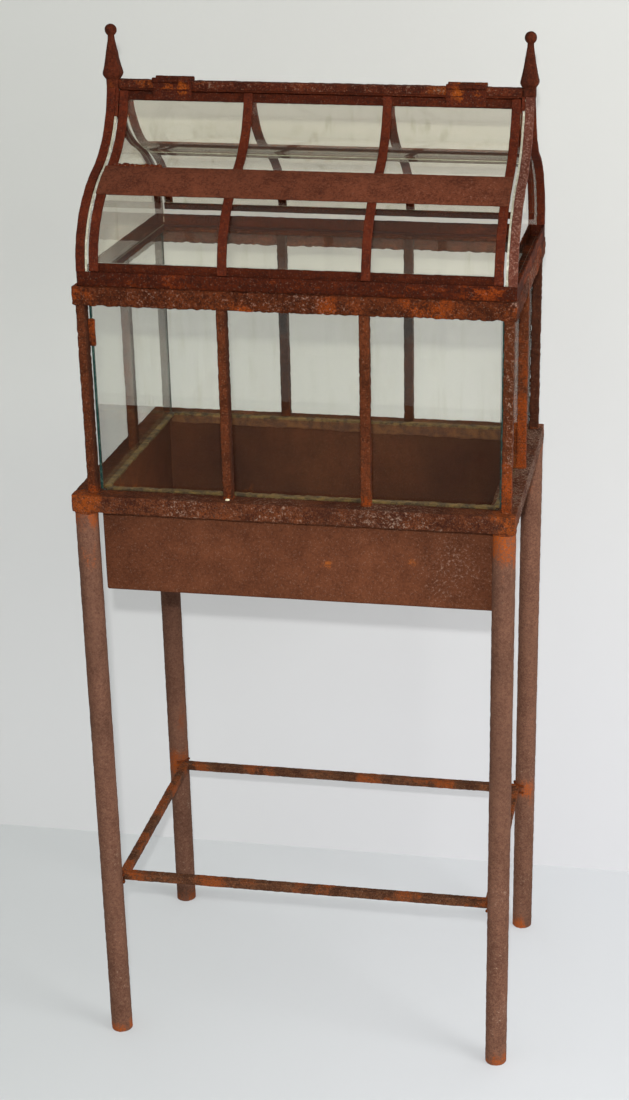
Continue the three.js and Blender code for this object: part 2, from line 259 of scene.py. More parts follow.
def joined(shells: Sequence[Shell]) -> Shell:
    """Several shells as one, with their faces renumbered.

    Args:
        shells: The shells. Their points and faces are kept.

    Returns:
        The one shell.
    """
    starts = np.cumsum([0] + [len(shell.points) for shell in shells[:-1]])
    quads = np.vstack([shell.quads + start for shell, start in zip(shells, starts)])
    return Shell(np.vstack([shell.points for shell in shells]), quads)


def loft(loops: np.ndarray, endless: bool) -> Shell:
    """Closed loops of points joined one to the next.

    Args:
        loops: Stations by points by three.
        endless: Whether the last loop joins the first. If not, each end loop is drawn
            together to its middle, in two steps.

    Returns:
        The closed shell.
    """
    if not endless:
        first, last = loops[0], loops[-1]
        ends = [first.mean(axis=0), last.mean(axis=0)]
        head = np.stack([np.broadcast_to(ends[0], first.shape), (first + ends[0]) / 2])
        tail = np.stack([(last + ends[1]) / 2, np.broadcast_to(ends[1], last.shape)])
        loops = np.concatenate([head, loops, tail])
    stations, around = loops.shape[:2]
    index = np.arange(stations * around).reshape(stations, around)
    nearer = index if endless else index[:-1]
    further = np.roll(index, -1, axis=0) if endless else index[1:]
    quads = np.stack(
        [nearer, np.roll(nearer, -1, axis=1), np.roll(further, -1, axis=1), further], axis=-1
    )
    return Shell(loops.reshape(-1, 3), quads.reshape(-1, 4)).welded().outward()


def edge_spaced(length: float, spacing: float, radius: float) -> np.ndarray:
    """Steps from 0 to a length, close together within a radius of both ends.

    Args:
        length: Where the steps end.
        spacing: The step away from the ends.
        radius: The radius of the edges that the close steps have to follow.

    Returns:
        The places of the steps.
    """
    near = radius * EDGE_STEPS
    near = near if length > 5 * radius else near[:-1]
    count = max(int(round((length - 2 * near[-1]) / spacing)), 1)
    middle = np.linspace(near[-1], length - near[-1], count + 1)[1:-1]
    return np.concatenate([near, middle, length - near[::-1]])


def rounded_block(size: Sequence[float], radius: float, spacing: float) -> Shell:
    """A block with rounded edges, centred on the origin.

    The surface of a lattice box is taken. Each point splits into its nearest point in a box
    smaller by the radius and a rest, and the rest is shortened to the radius.

    Args:
        size: Lengths along the three axes.
        radius: Radius of the edges.
        spacing: The lattice's spacing away from the edges.

    Returns:
        The closed shell.
    """
    axes = [edge_spaced(length, spacing, radius) - length / 2 for length in size]
    counts = [len(axis) for axis in axes]
    grid = np.stack(np.meshgrid(*axes, indexing="ij"), axis=-1)
    place = np.indices(counts)
    outside = np.zeros(counts, bool)
    for k, count in enumerate(counts):
        outside |= (place[k] == 0) | (place[k] == count - 1)
    index = np.full(counts, -1)
    index[outside] = np.arange(outside.sum())
    quads = []
    for axis in range(3):
        for at, turn in ((0, 1), (-1, -1)):
            face = np.take(index, at, axis=axis)
            if axis == 1:
                turn = -turn
            corners = [face[:-1, :-1], face[:-1, 1:], face[1:, 1:], face[1:, :-1]][::turn]
            quads.append(np.stack(corners, axis=-1).reshape(-1, 4))
    points = grid[outside]
    inner = np.clip(points, radius - np.array(size) / 2, np.array(size) / 2 - radius)
    points = inner + shortened(points - inner, radius)
    return Shell(points, np.vstack(quads)).outward()


def rounded_outline(
    corners: Sequence[tuple[float, float]], radius: float, spacing: float
) -> np.ndarray:
    """A closed outline with rounded corners and steps of about one spacing.

    Each corner is a curve of the second degree from a radius before it to a radius after it,
    with the corner itself as its middle handle.

    Args:
        corners: The sharp outline.
        radius: How far the curve starts from each corner.
        spacing: The step along the straight parts.

    Returns:
        Points by two.
    """
    sharp = np.array(corners, dtype=float)
    start, end = (sharp + unit(np.roll(sharp, way, axis=0) - sharp) * radius for way in (1, -1))
    share = np.linspace(0, 1, 4)[None, :, None]
    curve = (1 - share) ** 2 * start[:, None] + 2 * share * (1 - share) * sharp[:, None]
    curve = curve + share**2 * end[:, None]
    runs = []
    for k in range(len(sharp)):
        runs.append(curve[k])
        following = start[(k + 1) % len(sharp)]
        count = int(np.linalg.norm(following - end[k]) / spacing)
        steps = np.linspace(0, 1, count + 2)[1:-1, None]
        runs.append(end[k] * (1 - steps) + following * steps)
    return np.vstack(runs)


def frame_loops(
    outline: np.ndarray, half: tuple[float, float], spacing: float, corner: float
) -> np.ndarray:
    """An outline carried round a rectangle, mitred at the corners.

    An outline point at inset a lies on a rectangle smaller by a on every side. Beyond the
    start of each rounded corner, it is pulled in to the corner's arc.

    Args:
        outline: Points by two: the inset from the outside, and the height.
        half: Half the rectangle's outer length and depth.
        spacing: The step along the sides.
        corner: Radius of the rounded corners.

    Returns:
        Stations by points by three.
    """
    inset, height = outline[:, 0], outline[:, 1]
    reach = np.stack([half[0] - inset, half[1] - inset], axis=-1)
    signs = np.array([[-1, -1], [1, -1], [1, 1], [-1, 1]], dtype=float)
    sides = []
    for k in range(4):
        length = 2 * half[k % 2]
        share = edge_spaced(length, spacing, 2 * corner)[:-1, None, None] / length
        ends = signs[k] * reach, signs[(k + 1) % 4] * reach
        sides.append(ends[0] * (1 - share) + ends[1] * share)
    flat = np.vstack(sides)
    inner = np.maximum(reach - corner, 0.0)
    core = np.clip(flat, -inner, inner)
    flat = core + shortened(flat - core, corner)
    rise = np.broadcast_to(height, flat.shape[:2])[..., None]
    return np.concatenate([flat, rise], axis=-1)


@dataclass(frozen=True)
class Wear:
    """How deep rust has eaten into a piece, and where its patches lie.

    The surface first swells a little all over, as rust does, and is then eaten: the depth is
    a share of lumpy noise plus a share of small round pits.
    """

    depth: float
    lump: float
    seed: int
    fresh: tuple[Spot, ...] = ()
    scale: tuple[Spot, ...] = ()
    dark: tuple[Spot, ...] = ()
    swell: float = 0.5
    lump_share: float = 0.65
    pit_share: float = 0.35

    def eat(self, shell: Shell) -> Shell:
        """Moves each point along its normal, and keeps the depth's share as its pits.

        Args:
            shell: The sound surface.

        Returns:
            The same shell, worn.
        """
        noise = smooth_step(fractal_noise(shell.points, self.lump, self.seed, 3), 0.25, 0.75)
        pits = fractal_noise(shell.points, self.lump / 2, self.seed + 7, 2)
        share = self.lump_share * noise + self.pit_share * smooth_step(pits, 0.5, 0.8)
        move = self.depth * (self.swell - share)
        if self.dark:
            shell.dims = spot_mask(shell.points, self.dark)
        shell.points = shell.points + shell.normals() * move[:, None]
        shell.pits = share
        return shell


# Materials

RUST_COLOURS = ("Deep", "Body", "Fresh", "Scale", "Fleck")
RUST_SHARES = ("Fresh Share", "Scale Share", "Fleck Share", "Pit Share", "Grain", "Stretch")
# Cells in a metre of the rust's noises, from clouds along a whole bar down to crumbs.
BROAD_CELLS, MOTTLE_CELLS, MIDDLE_CELLS = 9.0, 36.0, 230.0
PIT_AND_SHADE_COLOUR = (0.014, 0.007, 0.005, 1.0)
OLD_GLASS_IOR = 1.45


def linear(colour: str) -> tuple[float, float, float, float]:
    """A written colour as linear light, by the sRGB curve.

    Args:
        colour: Six digits, such as "6a402d".

    Returns:
        Red, green and blue, with full alpha.
    """
    parts = [int(colour[k : k + 2], 16) / 255 for k in (0, 2, 4)]
    light = [p / 12.92 if p <= 0.04045 else ((p + 0.055) / 1.055) ** 2.4 for p in parts]
    return (*light, 1.0)


class Graph:
    """A node tree, with short ways to add nodes and to join them."""

    def __init__(self, tree: bpy.types.NodeTree) -> None:
        """Keeps the tree."""
        self.tree = tree

    def feed(self, node: bpy.types.Node, inputs: dict) -> None:
        """Joins a node's inputs to sockets, or sets their own values.

        Args:
            node: The node.
            inputs: A socket or a plain value for each input, by name or number.
        """
        for key, value in inputs.items():
            if isinstance(value, bpy.types.NodeSocket):
                self.tree.links.new(value, node.inputs[key])
            else:
                node.inputs[key].default_value = value

    def node(self, kind: str, inputs: dict | None = None, **settings: object) -> bpy.types.Node:
        """Adds a node.

        Args:
            kind: The node's type.
            inputs: A socket or a plain value for each input, by name or number.
            **settings: The node's own settings.

        Returns:
            The node.
        """
        node = self.tree.nodes.new(kind)
        for key, value in settings.items():
            setattr(node, key, value)
        self.feed(node, inputs or {})
        return node

    def math(
        self, operation: str, first: object, second: object = 0.0, third: object = 0.0
    ) -> bpy.types.NodeSocket:
        """The result of a Math node."""
        parts = {0: first, 1: second, 2: third}
        return self.node("ShaderNodeMath", parts, operation=operation).outputs[0]

    def weighted(self, *parts: tuple[object, float], start: float = 0.0) -> bpy.types.NodeSocket:
        """Several values, each times its weight, added to a start.

        Args:
            *parts: Each value with its weight.
            start: What they are added to.

        Returns:
            The sum.
        """
        total = start
        for value, weight in parts:
            total = self.math("MULTIPLY_ADD", value, weight, total)
        return total

    def product(self, first: object, *others: object) -> bpy.types.NodeSocket:
        """Several values multiplied.

        Args:
            first: The first of them.
            *others: The others.

        Returns:
            The product.
        """
        for value in others:
            first = self.math("MULTIPLY", first, value)
        return first

    def blend(
        self, share: object, low: object, high: object, blend_type: str = "MIX"
    ) -> bpy.types.NodeSocket:
        """A colour mixed from two by a share.

        Args:
            share: How much of the second colour goes in.
            low: The first colour.
            high: The second colour.
            blend_type: How the two are mixed.

        Returns:
            The mixed colour.
        """
        parts = {0: share, 6: low, 7: high}
        node = self.node("ShaderNodeMix", data_type="RGBA", blend_type=blend_type)
        self.feed(node, parts)
        return node.outputs[2]

    def step(self, value: object, low: float, high: float) -> bpy.types.NodeSocket:
        """An S-curve from 0 to 1.

        Args:
            value: What is put through the curve.
            low: The value where the curve leaves 0.
            high: The value where it reaches 1.

        Returns:
            The curve's height at the value.
        """
        parts = {0: value, 1: low, 2: high, 3: 0.0, 4: 1.0}
        node = self.node("ShaderNodeMapRange", parts, interpolation_type="SMOOTHSTEP")
        return node.outputs[0]

    def noise(
        self, place: object, scale: object, detail: float = 3.0, roughness: float = 0.55
    ) -> bpy.types.NodeSocket:
        """The value of a Noise Texture at a place."""
        inputs = {"Vector": place, "Scale": scale, "Detail": detail, "Roughness": roughness}
        return self.node("ShaderNodeTexNoise", inputs).outputs[0]

    def place(self) -> bpy.types.NodeSocket:
        """Places on the piece, in metres."""
        return self.node("ShaderNodeTexCoord").outputs["Object"]

    def attribute(self, name: str) -> bpy.types.NodeSocket:
        """The value of a piece's own attribute."""
        return self.node("ShaderNodeAttribute", attribute_name=name).outputs["Fac"]

    def mixed(
        self, share: object, first: bpy.types.Node, second: bpy.types.Node
    ) -> bpy.types.Node:
        """Two shaders mixed by a share."""
        parts = {0: share, 1: first.outputs[0], 2: second.outputs[0]}
        return self.node("ShaderNodeMixShader", parts)

    def show(self, shader: bpy.types.Node) -> None:
        """Makes a shader the material's surface."""
        self.feed(self.tree.nodes["Material Output"], {"Surface": shader.outputs[0]})


def new_group(name: str, inputs: dict[str, str], outputs: dict[str, str]) -> tuple:
    """A node group with named sockets.

    Args:
        name: The group's name.
        inputs: Kind of socket by name, such as "Color" or "Float".
        outputs: The same for the outputs.

    Returns:
        The group, its graph, the sockets that it is given, and its output node.
    """
    tree = bpy.data.node_groups.new(name, "ShaderNodeTree")
    for way, sockets in (("INPUT", inputs), ("OUTPUT", outputs)):
        for label, kind in sockets.items():
            tree.interface.new_socket(label, in_out=way, socket_type=f"NodeSocket{kind}")
    graph = Graph(tree)
    given = graph.node("NodeGroupInput").outputs
    return tree, graph, given, graph.node("NodeGroupOutput")


def new_material(name: str) -> tuple[bpy.types.Material, Graph, bpy.types.Node]:
    """A new material with a node tree.

    Args:
        name: The material's name.

    Returns:
        The material, its graph and its Principled shader.
    """
    material = bpy.data.materials.new(name)
    material.use_nodes = True
    return material, Graph(material.node_tree), material.node_tree.nodes["Principled BSDF"]


def rust_group() -> bpy.types.NodeTree:
    """The shared rust: mottled iron with fresh orange patches, pale scale, flecks and pits.

    Noise of several sizes gives the mottling. The piece's own attributes say where patches
    lie ("fresh" and "scale", which on some faces also carry painted light), where the surface
    is eaten ("pits") and where it is darkened by painted shade and by grime.

    Returns:
        The node group.
    """
    name = "rust"
    if name in bpy.data.node_groups:
        return bpy.data.node_groups[name]
    inputs = {key: "Color" for key in RUST_COLOURS} | {key: "Float" for key in RUST_SHARES}
    outputs = {"Color": "Color", "Roughness": "Float", "Height": "Float"}
    tree, graph, given, out = new_group(name, inputs, outputs)
    place = graph.place()
    drawn = graph.node("ShaderNodeCombineXYZ", {0: 1.0, 1: 1.0, 2: given["Stretch"]}).outputs[0]
    streaked, shifted = (
        graph.node("ShaderNodeVectorMath", {0: place, 1: by}, operation=way).outputs[0]
        for way, by in (("MULTIPLY", drawn), ("ADD", (3.1, 1.7, 5.3)))
    )
    broad = graph.noise(place, BROAD_CELLS)
    mottle = graph.noise(streaked, MOTTLE_CELLS, 5.0, 0.62)
    middle = graph.noise(shifted, MIDDLE_CELLS, 4.0, 0.6)
    grain = graph.noise(place, given["Grain"], 3.0, 0.6)
    speck = graph.noise(shifted, given["Grain"], 2.0, 0.5)
    pits = graph.product(graph.attribute("pits"), given["Pit Share"])
    patch = graph.attribute("fresh")

    # Sound rust, from the deep colour to the body's, in tones that drift along the piece.
    wave = graph.weighted((mottle, 0.3), (middle, 0.35), (grain, 0.35), (pits, -0.12))
    colour = graph.blend(graph.step(wave, 0.36, 0.6), given["Deep"], given["Body"])
    tone = graph.weighted((broad, 0.7), start=0.65)
    tone = graph.node("ShaderNodeCombineColor", {0: tone, 1: tone, 2: tone}).outputs[0]
    colour = graph.blend(1.0, colour, tone, "MULTIPLY")

    # Fresh rust in ragged patches, brightest in their middles and broken up by the grain.
    ragged = graph.weighted((mottle, 2.2), (broad, 1.0), (middle, 0.8), start=-2.0)
    fresh = graph.weighted((patch, 1.0), (given["Fresh Share"], 1.0), (ragged, 1.0))
    share = graph.weighted((grain, 0.25), (middle, 0.3), (mottle, 0.45))
    vivid = graph.math("MINIMUM", graph.weighted((patch, 0.75), start=0.3), 1.0)
    speckle = graph.weighted((graph.step(grain, 0.38, 0.56), 0.5), start=0.5)
    share = graph.product(graph.step(share, 0.4, 0.58), vivid, speckle)
    under = graph.blend(0.5, given["Deep"], given["Body"])
    bright = graph.blend(share, under, given["Fresh"])
    colour = graph.blend(graph.step(fresh, 0.35, 0.8), colour, bright)

    # Pale scale, which stays out of the pits.
    crust = graph.weighted((graph.attribute("scale"), 1.0), (given["Scale Share"], 1.0))
    crust = graph.weighted((crust, 1.0), (middle, 2.0), (pits, -0.25), start=-1.0)
    pale = graph.blend(graph.step(speck, 0.42, 0.6), given["Deep"], given["Scale"])
    colour = graph.blend(graph.product(graph.step(crust, 0.3, 0.75), 0.8), colour, pale)

    # Flecks, then small and large pits, then the piece's painted shade and grime.
    fleck = graph.product(graph.step(speck, 0.6, 0.7), given["Fleck Share"])
    colour = graph.blend(fleck, colour, given["Fleck"])
    small = graph.math("SUBTRACT", 1.0, graph.step(grain, 0.32, 0.44))
    small = graph.product(small, given["Pit Share"], 0.7)
    large = graph.product(graph.step(pits, 0.55, 0.95), 0.45)
    dark = graph.math("MAXIMUM", graph.math("MAXIMUM", small, large), graph.attribute("dim"))
    colour = graph.blend(dark, colour, PIT_AND_SHADE_COLOUR)

    rough = graph.weighted((grain, 0.3), start=0.6)
    height = graph.weighted((middle, 0.7), (grain, 0.4))
    graph.feed(out, {"Color": colour, "Roughness": rough, "Height": height})
    return tree


@dataclass(frozen=True)
class Finish:
    """A named finish and its slot. Each sort says how its material is dressed."""

    name: str
    slot: str

    def material(self) -> bpy.types.Material:
        """The finish as a material, made once.

        Returns:
            The material.
        """
        if self.name not in bpy.data.materials:
            self.dress(*new_material(self.name)[1:])
        return bpy.data.materials[self.name]

    def dress(self, graph: Graph, shader: bpy.types.Node) -> None:
        """Gives the material its nodes."""
        raise NotImplementedError


@dataclass(frozen=True)
class RustFinish(Finish):
    """One sort of rusted iron."""

    deep: str = "3a1c12"
    body: str = "6a3a28"
    fresh: str = "a04f1a"
    scale: str = "8f7265"
    fleck: str = "b89a84"
    fresh_share: float = 0.0
    scale_share: float = 0.0
    fleck_share: float = 0.35
    pit_share: float = 0.6
    grain: float = 480.0
    stretch: float = 1.0
    relief: float = 0.0008
    gloss: float = 0.06

    def dress(self, graph: Graph, shader: bpy.types.Node) -> None:
        """Gives the shader the shared rust, with this sort's own values.

        Args:
            graph: The material's graph.
            shader: Its Principled shader.
        """
        rust = graph.node("ShaderNodeGroup", node_tree=rust_group())
        graph.feed(rust, {key: linear(getattr(self, key.lower())) for key in RUST_COLOURS})
        for key in RUST_SHARES:
            rust.inputs[key].default_value = getattr(self, key.lower().replace(" ", "_"))
        relief = {"Height": rust.outputs["Height"], "Distance": self.relief, "Strength": 1.0}
        bump = graph.node("ShaderNodeBump", relief)
        graph.feed(shader, {
            "Base Color": rust.outputs["Color"], "Roughness": rust.outputs["Roughness"],
            "Normal": bump.outputs[0], "Specular IOR Level": self.gloss,
        })


@dataclass(frozen=True)
class GlassFinish(Finish):
    """Old clear glass, slightly uneven and dirty."""

    slot: str = "glass"
    tint: str = "f7f7f4"
    stain: str = "d0c8a4"
    clear: str = "f6f7f3"
    stain_share: float = 0.3

    def dress(self, graph: Graph, shader: bpy.types.Node) -> None:
        """Stains clear glass with dirt that has run down. Lamps shine through it.

        Args:
            graph: The material's graph.
            shader: Its Principled shader.
        """
        place = graph.place()
        drawn = graph.node("ShaderNodeMapping", {"Vector": place, "Scale": (1.0, 1.0, 0.12)})
        streak = graph.noise(drawn.outputs[0], 60.0, 4.0, 0.6)
        cloud = graph.noise(place, BROAD_CELLS, 4.0)
        dirt = graph.product(graph.step(streak, 0.5, 0.75), graph.step(cloud, 0.4, 0.7))
        dirt = graph.product(dirt, self.stain_share)
        graph.feed(shader, {
            "Base Color": graph.blend(dirt, linear(self.tint), linear(self.stain)),
            "Transmission Weight": 1.0, "Roughness": 0.0, "IOR": OLD_GLASS_IOR,
        })
        clear = graph.node("ShaderNodeBsdfTransparent", {"Color": linear(self.clear)})
        shadow = graph.node("ShaderNodeLightPath").outputs["Is Shadow Ray"]
        graph.show(graph.mixed(shadow, shader, clear))


@dataclass(frozen=True)
class GlassEdge(Finish):
    """The cut edge of a pane, dark and green."""

    name: str = "glass_edge"
    slot: str = "glass"
    colour: str = "203a35"
    chip: str = "3f5a50"

    def dress(self, graph: Graph, shader: bpy.types.Node) -> None:
        """Mottles the edge with paler chips.

        Args:
            graph: The material's graph.
            shader: Its Principled shader.
        """
        chips = graph.step(graph.noise(graph.place(), 160.0), 0.45, 0.7)
        colour = graph.blend(chips, linear(self.colour), linear(self.chip))
        graph.feed(shader, {"Base Color": colour, "Roughness": 0.25})


@dataclass(frozen=True)
class PuttyFinish(Finish):
    """Old glazing putty, olive and crumbling."""

    name: str = "old_putty"
    slot: str = "glass"
    dark: str = "30220f"
    light: str = "6a5326"

    def dress(self, graph: Graph, shader: bpy.types.Node) -> None:
        """Crumbs of a dark and a light tone, which also stand out of the surface.

        Args:
            graph: The material's graph.
            shader: Its Principled shader.
        """
        crumbs = graph.noise(graph.place(), 70.0, 5.0, 0.72)
        colour = graph.blend(graph.step(crumbs, 0.35, 0.65), linear(self.dark), linear(self.light))
        bump = graph.node("ShaderNodeBump", {"Height": crumbs, "Distance": 0.0008})
        graph.feed(shader, {"Base Color": colour, "Normal": bump.outputs[0], "Roughness": 0.9})


LEG_RUST = RustFinish("leg_rust", "leg_tube", body="745140", deep="583a2d", fresh="a04a0e",
                      scale="94806f", fleck="a8907c", fleck_share=0.12, fresh_share=-0.02,
                      scale_share=-0.15, pit_share=0.25, relief=0.0005, stretch=0.22)
STRETCHER_RUST = RustFinish("stretcher_rust", "stretcher_bar", body="62402a", deep="3c2216",
                            fresh="8f4212", fresh_share=0.26, fleck_share=0.2)
FRAME_RUST = RustFinish("frame_rust", "angle_iron", body="5d321c", deep="381a0e",
                        fresh="8a400f", scale="877060", fleck="917766", fresh_share=0.1,
                        scale_share=-0.1, relief=0.0024, fleck_share=0.25)
COLLAR_RUST = RustFinish("collar_rust", "angle_iron", body="532610", deep="301306",
                         fresh="86390b", scale="84685a", fleck="8c6e5a", fresh_share=0.15,
                         scale_share=-0.1, relief=0.0024, fleck_share=0.25)
BAR_RUST = RustFinish("bar_rust", "upright_bar", body="562a15", deep="371909", fresh="86390c",
                      scale="8a7464", fleck="94735c", fleck_share=0.25, fresh_share=0.12,
                      relief=0.0016, pit_share=0.4)
PAN_RUST = RustFinish("pan_rust", "pan_sheet", body="5d3521", deep="4a2818", fleck_share=0.1,
                      fresh="904c1c", scale="7e6152", fresh_share=-0.25, relief=0.0003,
                      pit_share=0.1)
ROOF_RUST = RustFinish("roof_rust", "roof_iron", body="54210f", deep="381409", fresh="7c360d",
                       scale="8a7060", fleck="8e6c58", fleck_share=0.15, fresh_share=0.1,
                       scale_share=-0.15, pit_share=0.4, stretch=1.6)
PALE_RUST = RustFinish("pale_rust", "roof_iron", body="5f3527", deep="47231a", scale="7b5c4f",
                       fleck="8a7062", fleck_share=0.15, scale_share=-0.15, pit_share=0.3)
RAIL_RUST = RustFinish("rail_rust", "roof_iron", body="431807", deep="2a0e05", fresh="7a320b",
                       fleck_share=0.08, fresh_share=0.02, pit_share=0.3, stretch=3.0)
RIDGE_RUST = RustFinish("ridge_rust", "roof_iron", body="532311", deep="2e1108",
                        fresh="86400f", scale="85705f", fleck="94785f", fleck_share=0.3,
                        fresh_share=0.1, scale_share=-0.1, relief=0.002)
CRUST_RUST = RustFinish("crust_rust", "band_iron", body="54210d", deep="3a1408", fresh="b07a3c",
                        fresh_share=0.35, relief=0.0016)
BAND_RUST = RustFinish("band_rust", "band_iron", body="5e3220", deep="3f1e12", fleck_share=0.05,
                       fresh="8e4512", scale="7d5646", fresh_share=-0.3, scale_share=-0.08,
                       relief=0.0002, pit_share=0.1)
FINIAL_RUST = RustFinish("finial_rust", "finial_iron", body="4e200f", deep="301207",
                         fresh="74340c", fleck_share=0.04, fresh_share=0.05, pit_share=0.4)
HINGE_RUST = RustFinish("hinge_rust", "hinge_iron", body="421a0b", deep="2a0e05",
                        fresh="74340c", fleck_share=0.1)
LEAF_RUST = RustFinish("leaf_rust", "hinge_iron", body="4e1f0c", deep="321108", fresh="8c430f",
                       fleck_share=0.1, fresh_share=-0.1)
WELD_RUST = RustFinish("weld_rust", "angle_iron", body="6a3213", fresh="86400f",
                       fresh_share=0.4, fleck_share=0.15)
BOX_GLASS = GlassFinish("box_glass")
ROOF_GLASS = GlassFinish("roof_glass", tint="fdfaf2", stain_share=0.4)
GLASS_EDGE = GlassEdge()
ROOF_EDGE = GlassEdge("roof_glass_edge", colour="a8a48e", chip="c9c4b0")
PUTTY = PuttyFinish()
RUN_PUTTY = PuttyFinish("run_putty", dark="3a1c0a", light="5a3613")
CHIP_PUTTY = PuttyFinish("chip_putty", dark="b3a67c", light="dcd4b4")


# Pieces

NO_CREASE, GLASS_CREASE = 180.0, 18.0
TUBE_STEPS = 48
BEAD_STEPS = 10
WELD_STEPS = 56
FINIAL_STEPS = 40


def make_piece(
    name: str,
    shell: Shell,
    finishes: Sequence[Finish],
    body: Body,
    nodes: Sequence[str] = (),
    wear: Wear | None = None,
    sharp: float = NO_CREASE,
) -> None:
    """Turns a shell into a piece that rides on a body and stands for its CAD nodes.

    Args:
        name: The piece's name.
        shell: The surface, in millimetres.
        finishes: One finish for each material slot.
        body: The body that carries it.
        nodes: The CAD nodes that it stands for.
        wear: Where its rust patches lie.
        sharp: Edges that turn by more than this many degrees stay sharp.
    """
    mesh = bpy.data.meshes.new(name)
    keep = shell.quads != np.roll(shell.quads, -1, axis=1)
    sound = keep.sum(axis=1) >= 3
    quads, keep = shell.quads[sound], keep[sound]
    corners = keep.sum(axis=1)
    count = len(quads)
    mesh.vertices.add(len(shell.points))
    mesh.vertices.foreach_set("co", (shell.points * METRE).astype(np.float32).ravel())
    mesh.loops.add(int(corners.sum()))
    mesh.loops.foreach_set("vertex_index", quads[keep].astype(np.int32))
    mesh.polygons.add(count)
    starts = np.concatenate([[0], np.cumsum(corners)[:-1]]).astype(np.int32)
    mesh.polygons.foreach_set("loop_start", starts)
    mesh.polygons.foreach_set("use_smooth", np.ones(count, dtype=bool))
    if shell.slots is not None:
        mesh.polygons.foreach_set("material_index", shell.slots[sound].astype(np.int32))
    if wear is not None:
        layers = {"fresh": spot_mask(shell.points, wear.fresh)}
        layers["scale"] = spot_mask(shell.points, wear.scale)
        layers["pits"] = shell.pits
        if shell.dims is not None:
            layers["dim"] = shell.dims
        for label, values in layers.items():
            layer = mesh.attributes.new(label, "FLOAT", "POINT")
            layer.data.foreach_set("value", values.astype(np.float32))
    mesh.update(calc_edges=True)
    mesh.validate()
    if sharp < NO_CREASE:
        mesh.set_sharp_from_angle(angle=math.radians(sharp))
    for finish in finishes:
        mesh.materials.append(finish.material())
    piece = bpy.data.objects.new(name, mesh)
    bpy.context.scene.collection.objects.link(piece)
    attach(piece, body.value)
    if nodes:
        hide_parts(*nodes)
    log.info("%s: %d faces", name, count)


def node_box(node: str) -> tuple[np.ndarray, np.ndarray]:
    """The middle and the size of a CAD node at rest, in millimetres."""
    low, high = (np.array(corner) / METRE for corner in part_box(node))
    return (low + high) / 2, high - low


def node_levels(node: str) -> tuple[float, float]:
    """The lowest and the highest level of a CAD node at rest, in millimetres."""
    middle, size = node_box(node)
    return middle[2] - size[2] / 2, middle[2] + size[2] / 2


def make_iron(node: str, shell: Shell, finish: RustFinish, body: Body, wear: Wear) -> None:
    """Makes a rusted piece in place of one CAD node, and names it after the node."""
    make_piece(f"{node}_iron", shell, [finish], body, [node], wear)


def make_glass(node: str, shell: Shell, finishes: Sequence[Finish], body: Body) -> None:
    """Makes a pane in place of one CAD node, and names it after the node."""
    make_piece(f"{node}_glass", shell, finishes, body, [node], sharp=GLASS_CREASE)


def iron_bar(
    node: str, finish: RustFinish, body: Body, wear: Wear, radius: float = 1.2,
    spacing: float = 2.4,
) -> None:
    """A straight bar in place of a CAD node, with rounded edges and eaten faces.

    Args:
        node: The CAD node.
        finish: The bar's rust.
        body: The body that carries it.
        wear: How it is eaten.
        radius: Radius of its edges.
        spacing: The mesh's spacing.
    """
    middle, size = node_box(node)
    shell = rounded_block(size, radius, spacing).moved(middle)
    make_iron(node, wear.eat(shell), finish, body, wear)


def tube(inner: float, outer: float, low: float, high: float, spacing: float) -> Shell:
    """An upright tube round the Z axis: a ring section carried round it in equal steps.

    Args:
        inner: Radius of the bore.
        outer: Outer radius.
        low: Level of the lower end.
        high: Level of the upper end.
        spacing: The mesh's spacing along the wall.

    Returns:
        The closed shell.
    """
    section = rounded_outline(
        [(inner, low), (outer, low), (outer, high), (inner, high)], 0.8, spacing
    )
    turn = full_turn(TUBE_STEPS)[:, None]
    radius, height = section[:, 0][None], section[:, 1][None]
    rise = np.broadcast_to(height, (TUBE_STEPS, len(section)))
    loops = np.stack([radius * np.cos(turn), radius * np.sin(turn), rise], axis=-1)
    return loft(loops, endless=True)


def angle_ring(size: np.ndarray, levels: tuple, width: float, steel: float, steps: tuple) -> Shell:
    """A ring of angle iron round the Z axis: upright outside, with a level ledge at its top.

    Args:
        size: The ring's outer size.
        levels: Its lowest and highest level.
        width: Width of the ledge.
        steel: Thickness of the steel.
        steps: The mesh's spacing across the section and along the sides.

    Returns:
        The closed shell.
    """
    low, high = levels
    corners = [
        (0, low), (0, high), (width, high), (width, high - steel), (steel, high - steel),
        (steel, low),
    ]
    outline = rounded_outline(corners, 1.2, steps[0])
    return loft(frame_loops(outline, (size[0] / 2, size[1] / 2), steps[1], 2.5), endless=True)


def bead(path: np.ndarray, radius: float, seed: int) -> Shell:
    """A lumpy bead along an open level path.

    The bead's section is an upright circle across the path, and its radius swells and shrinks
    with noise along it.

    Args:
        path: Points by three.
        radius: The bead's mean radius.
        seed: Picks the lumps.

    Returns:
        The closed shell.
    """
    around = full_turn(BEAD_STEPS)
    step = np.gradient(path, axis=0)
    across = unit(np.stack([-step[:, 1], step[:, 0], np.zeros(len(path))], axis=-1))
    size = radius * (0.6 + 0.8 * fractal_noise(path, 8.0, seed, 3))[:, None, None]
    flat = across[:, None, :] * np.cos(around)[None, :, None]
    rise = np.array([0.0, 0.0, 1.0]) * np.sin(around)[None, :, None]
    return loft(path[:, None, :] + size * (flat + rise), endless=False)


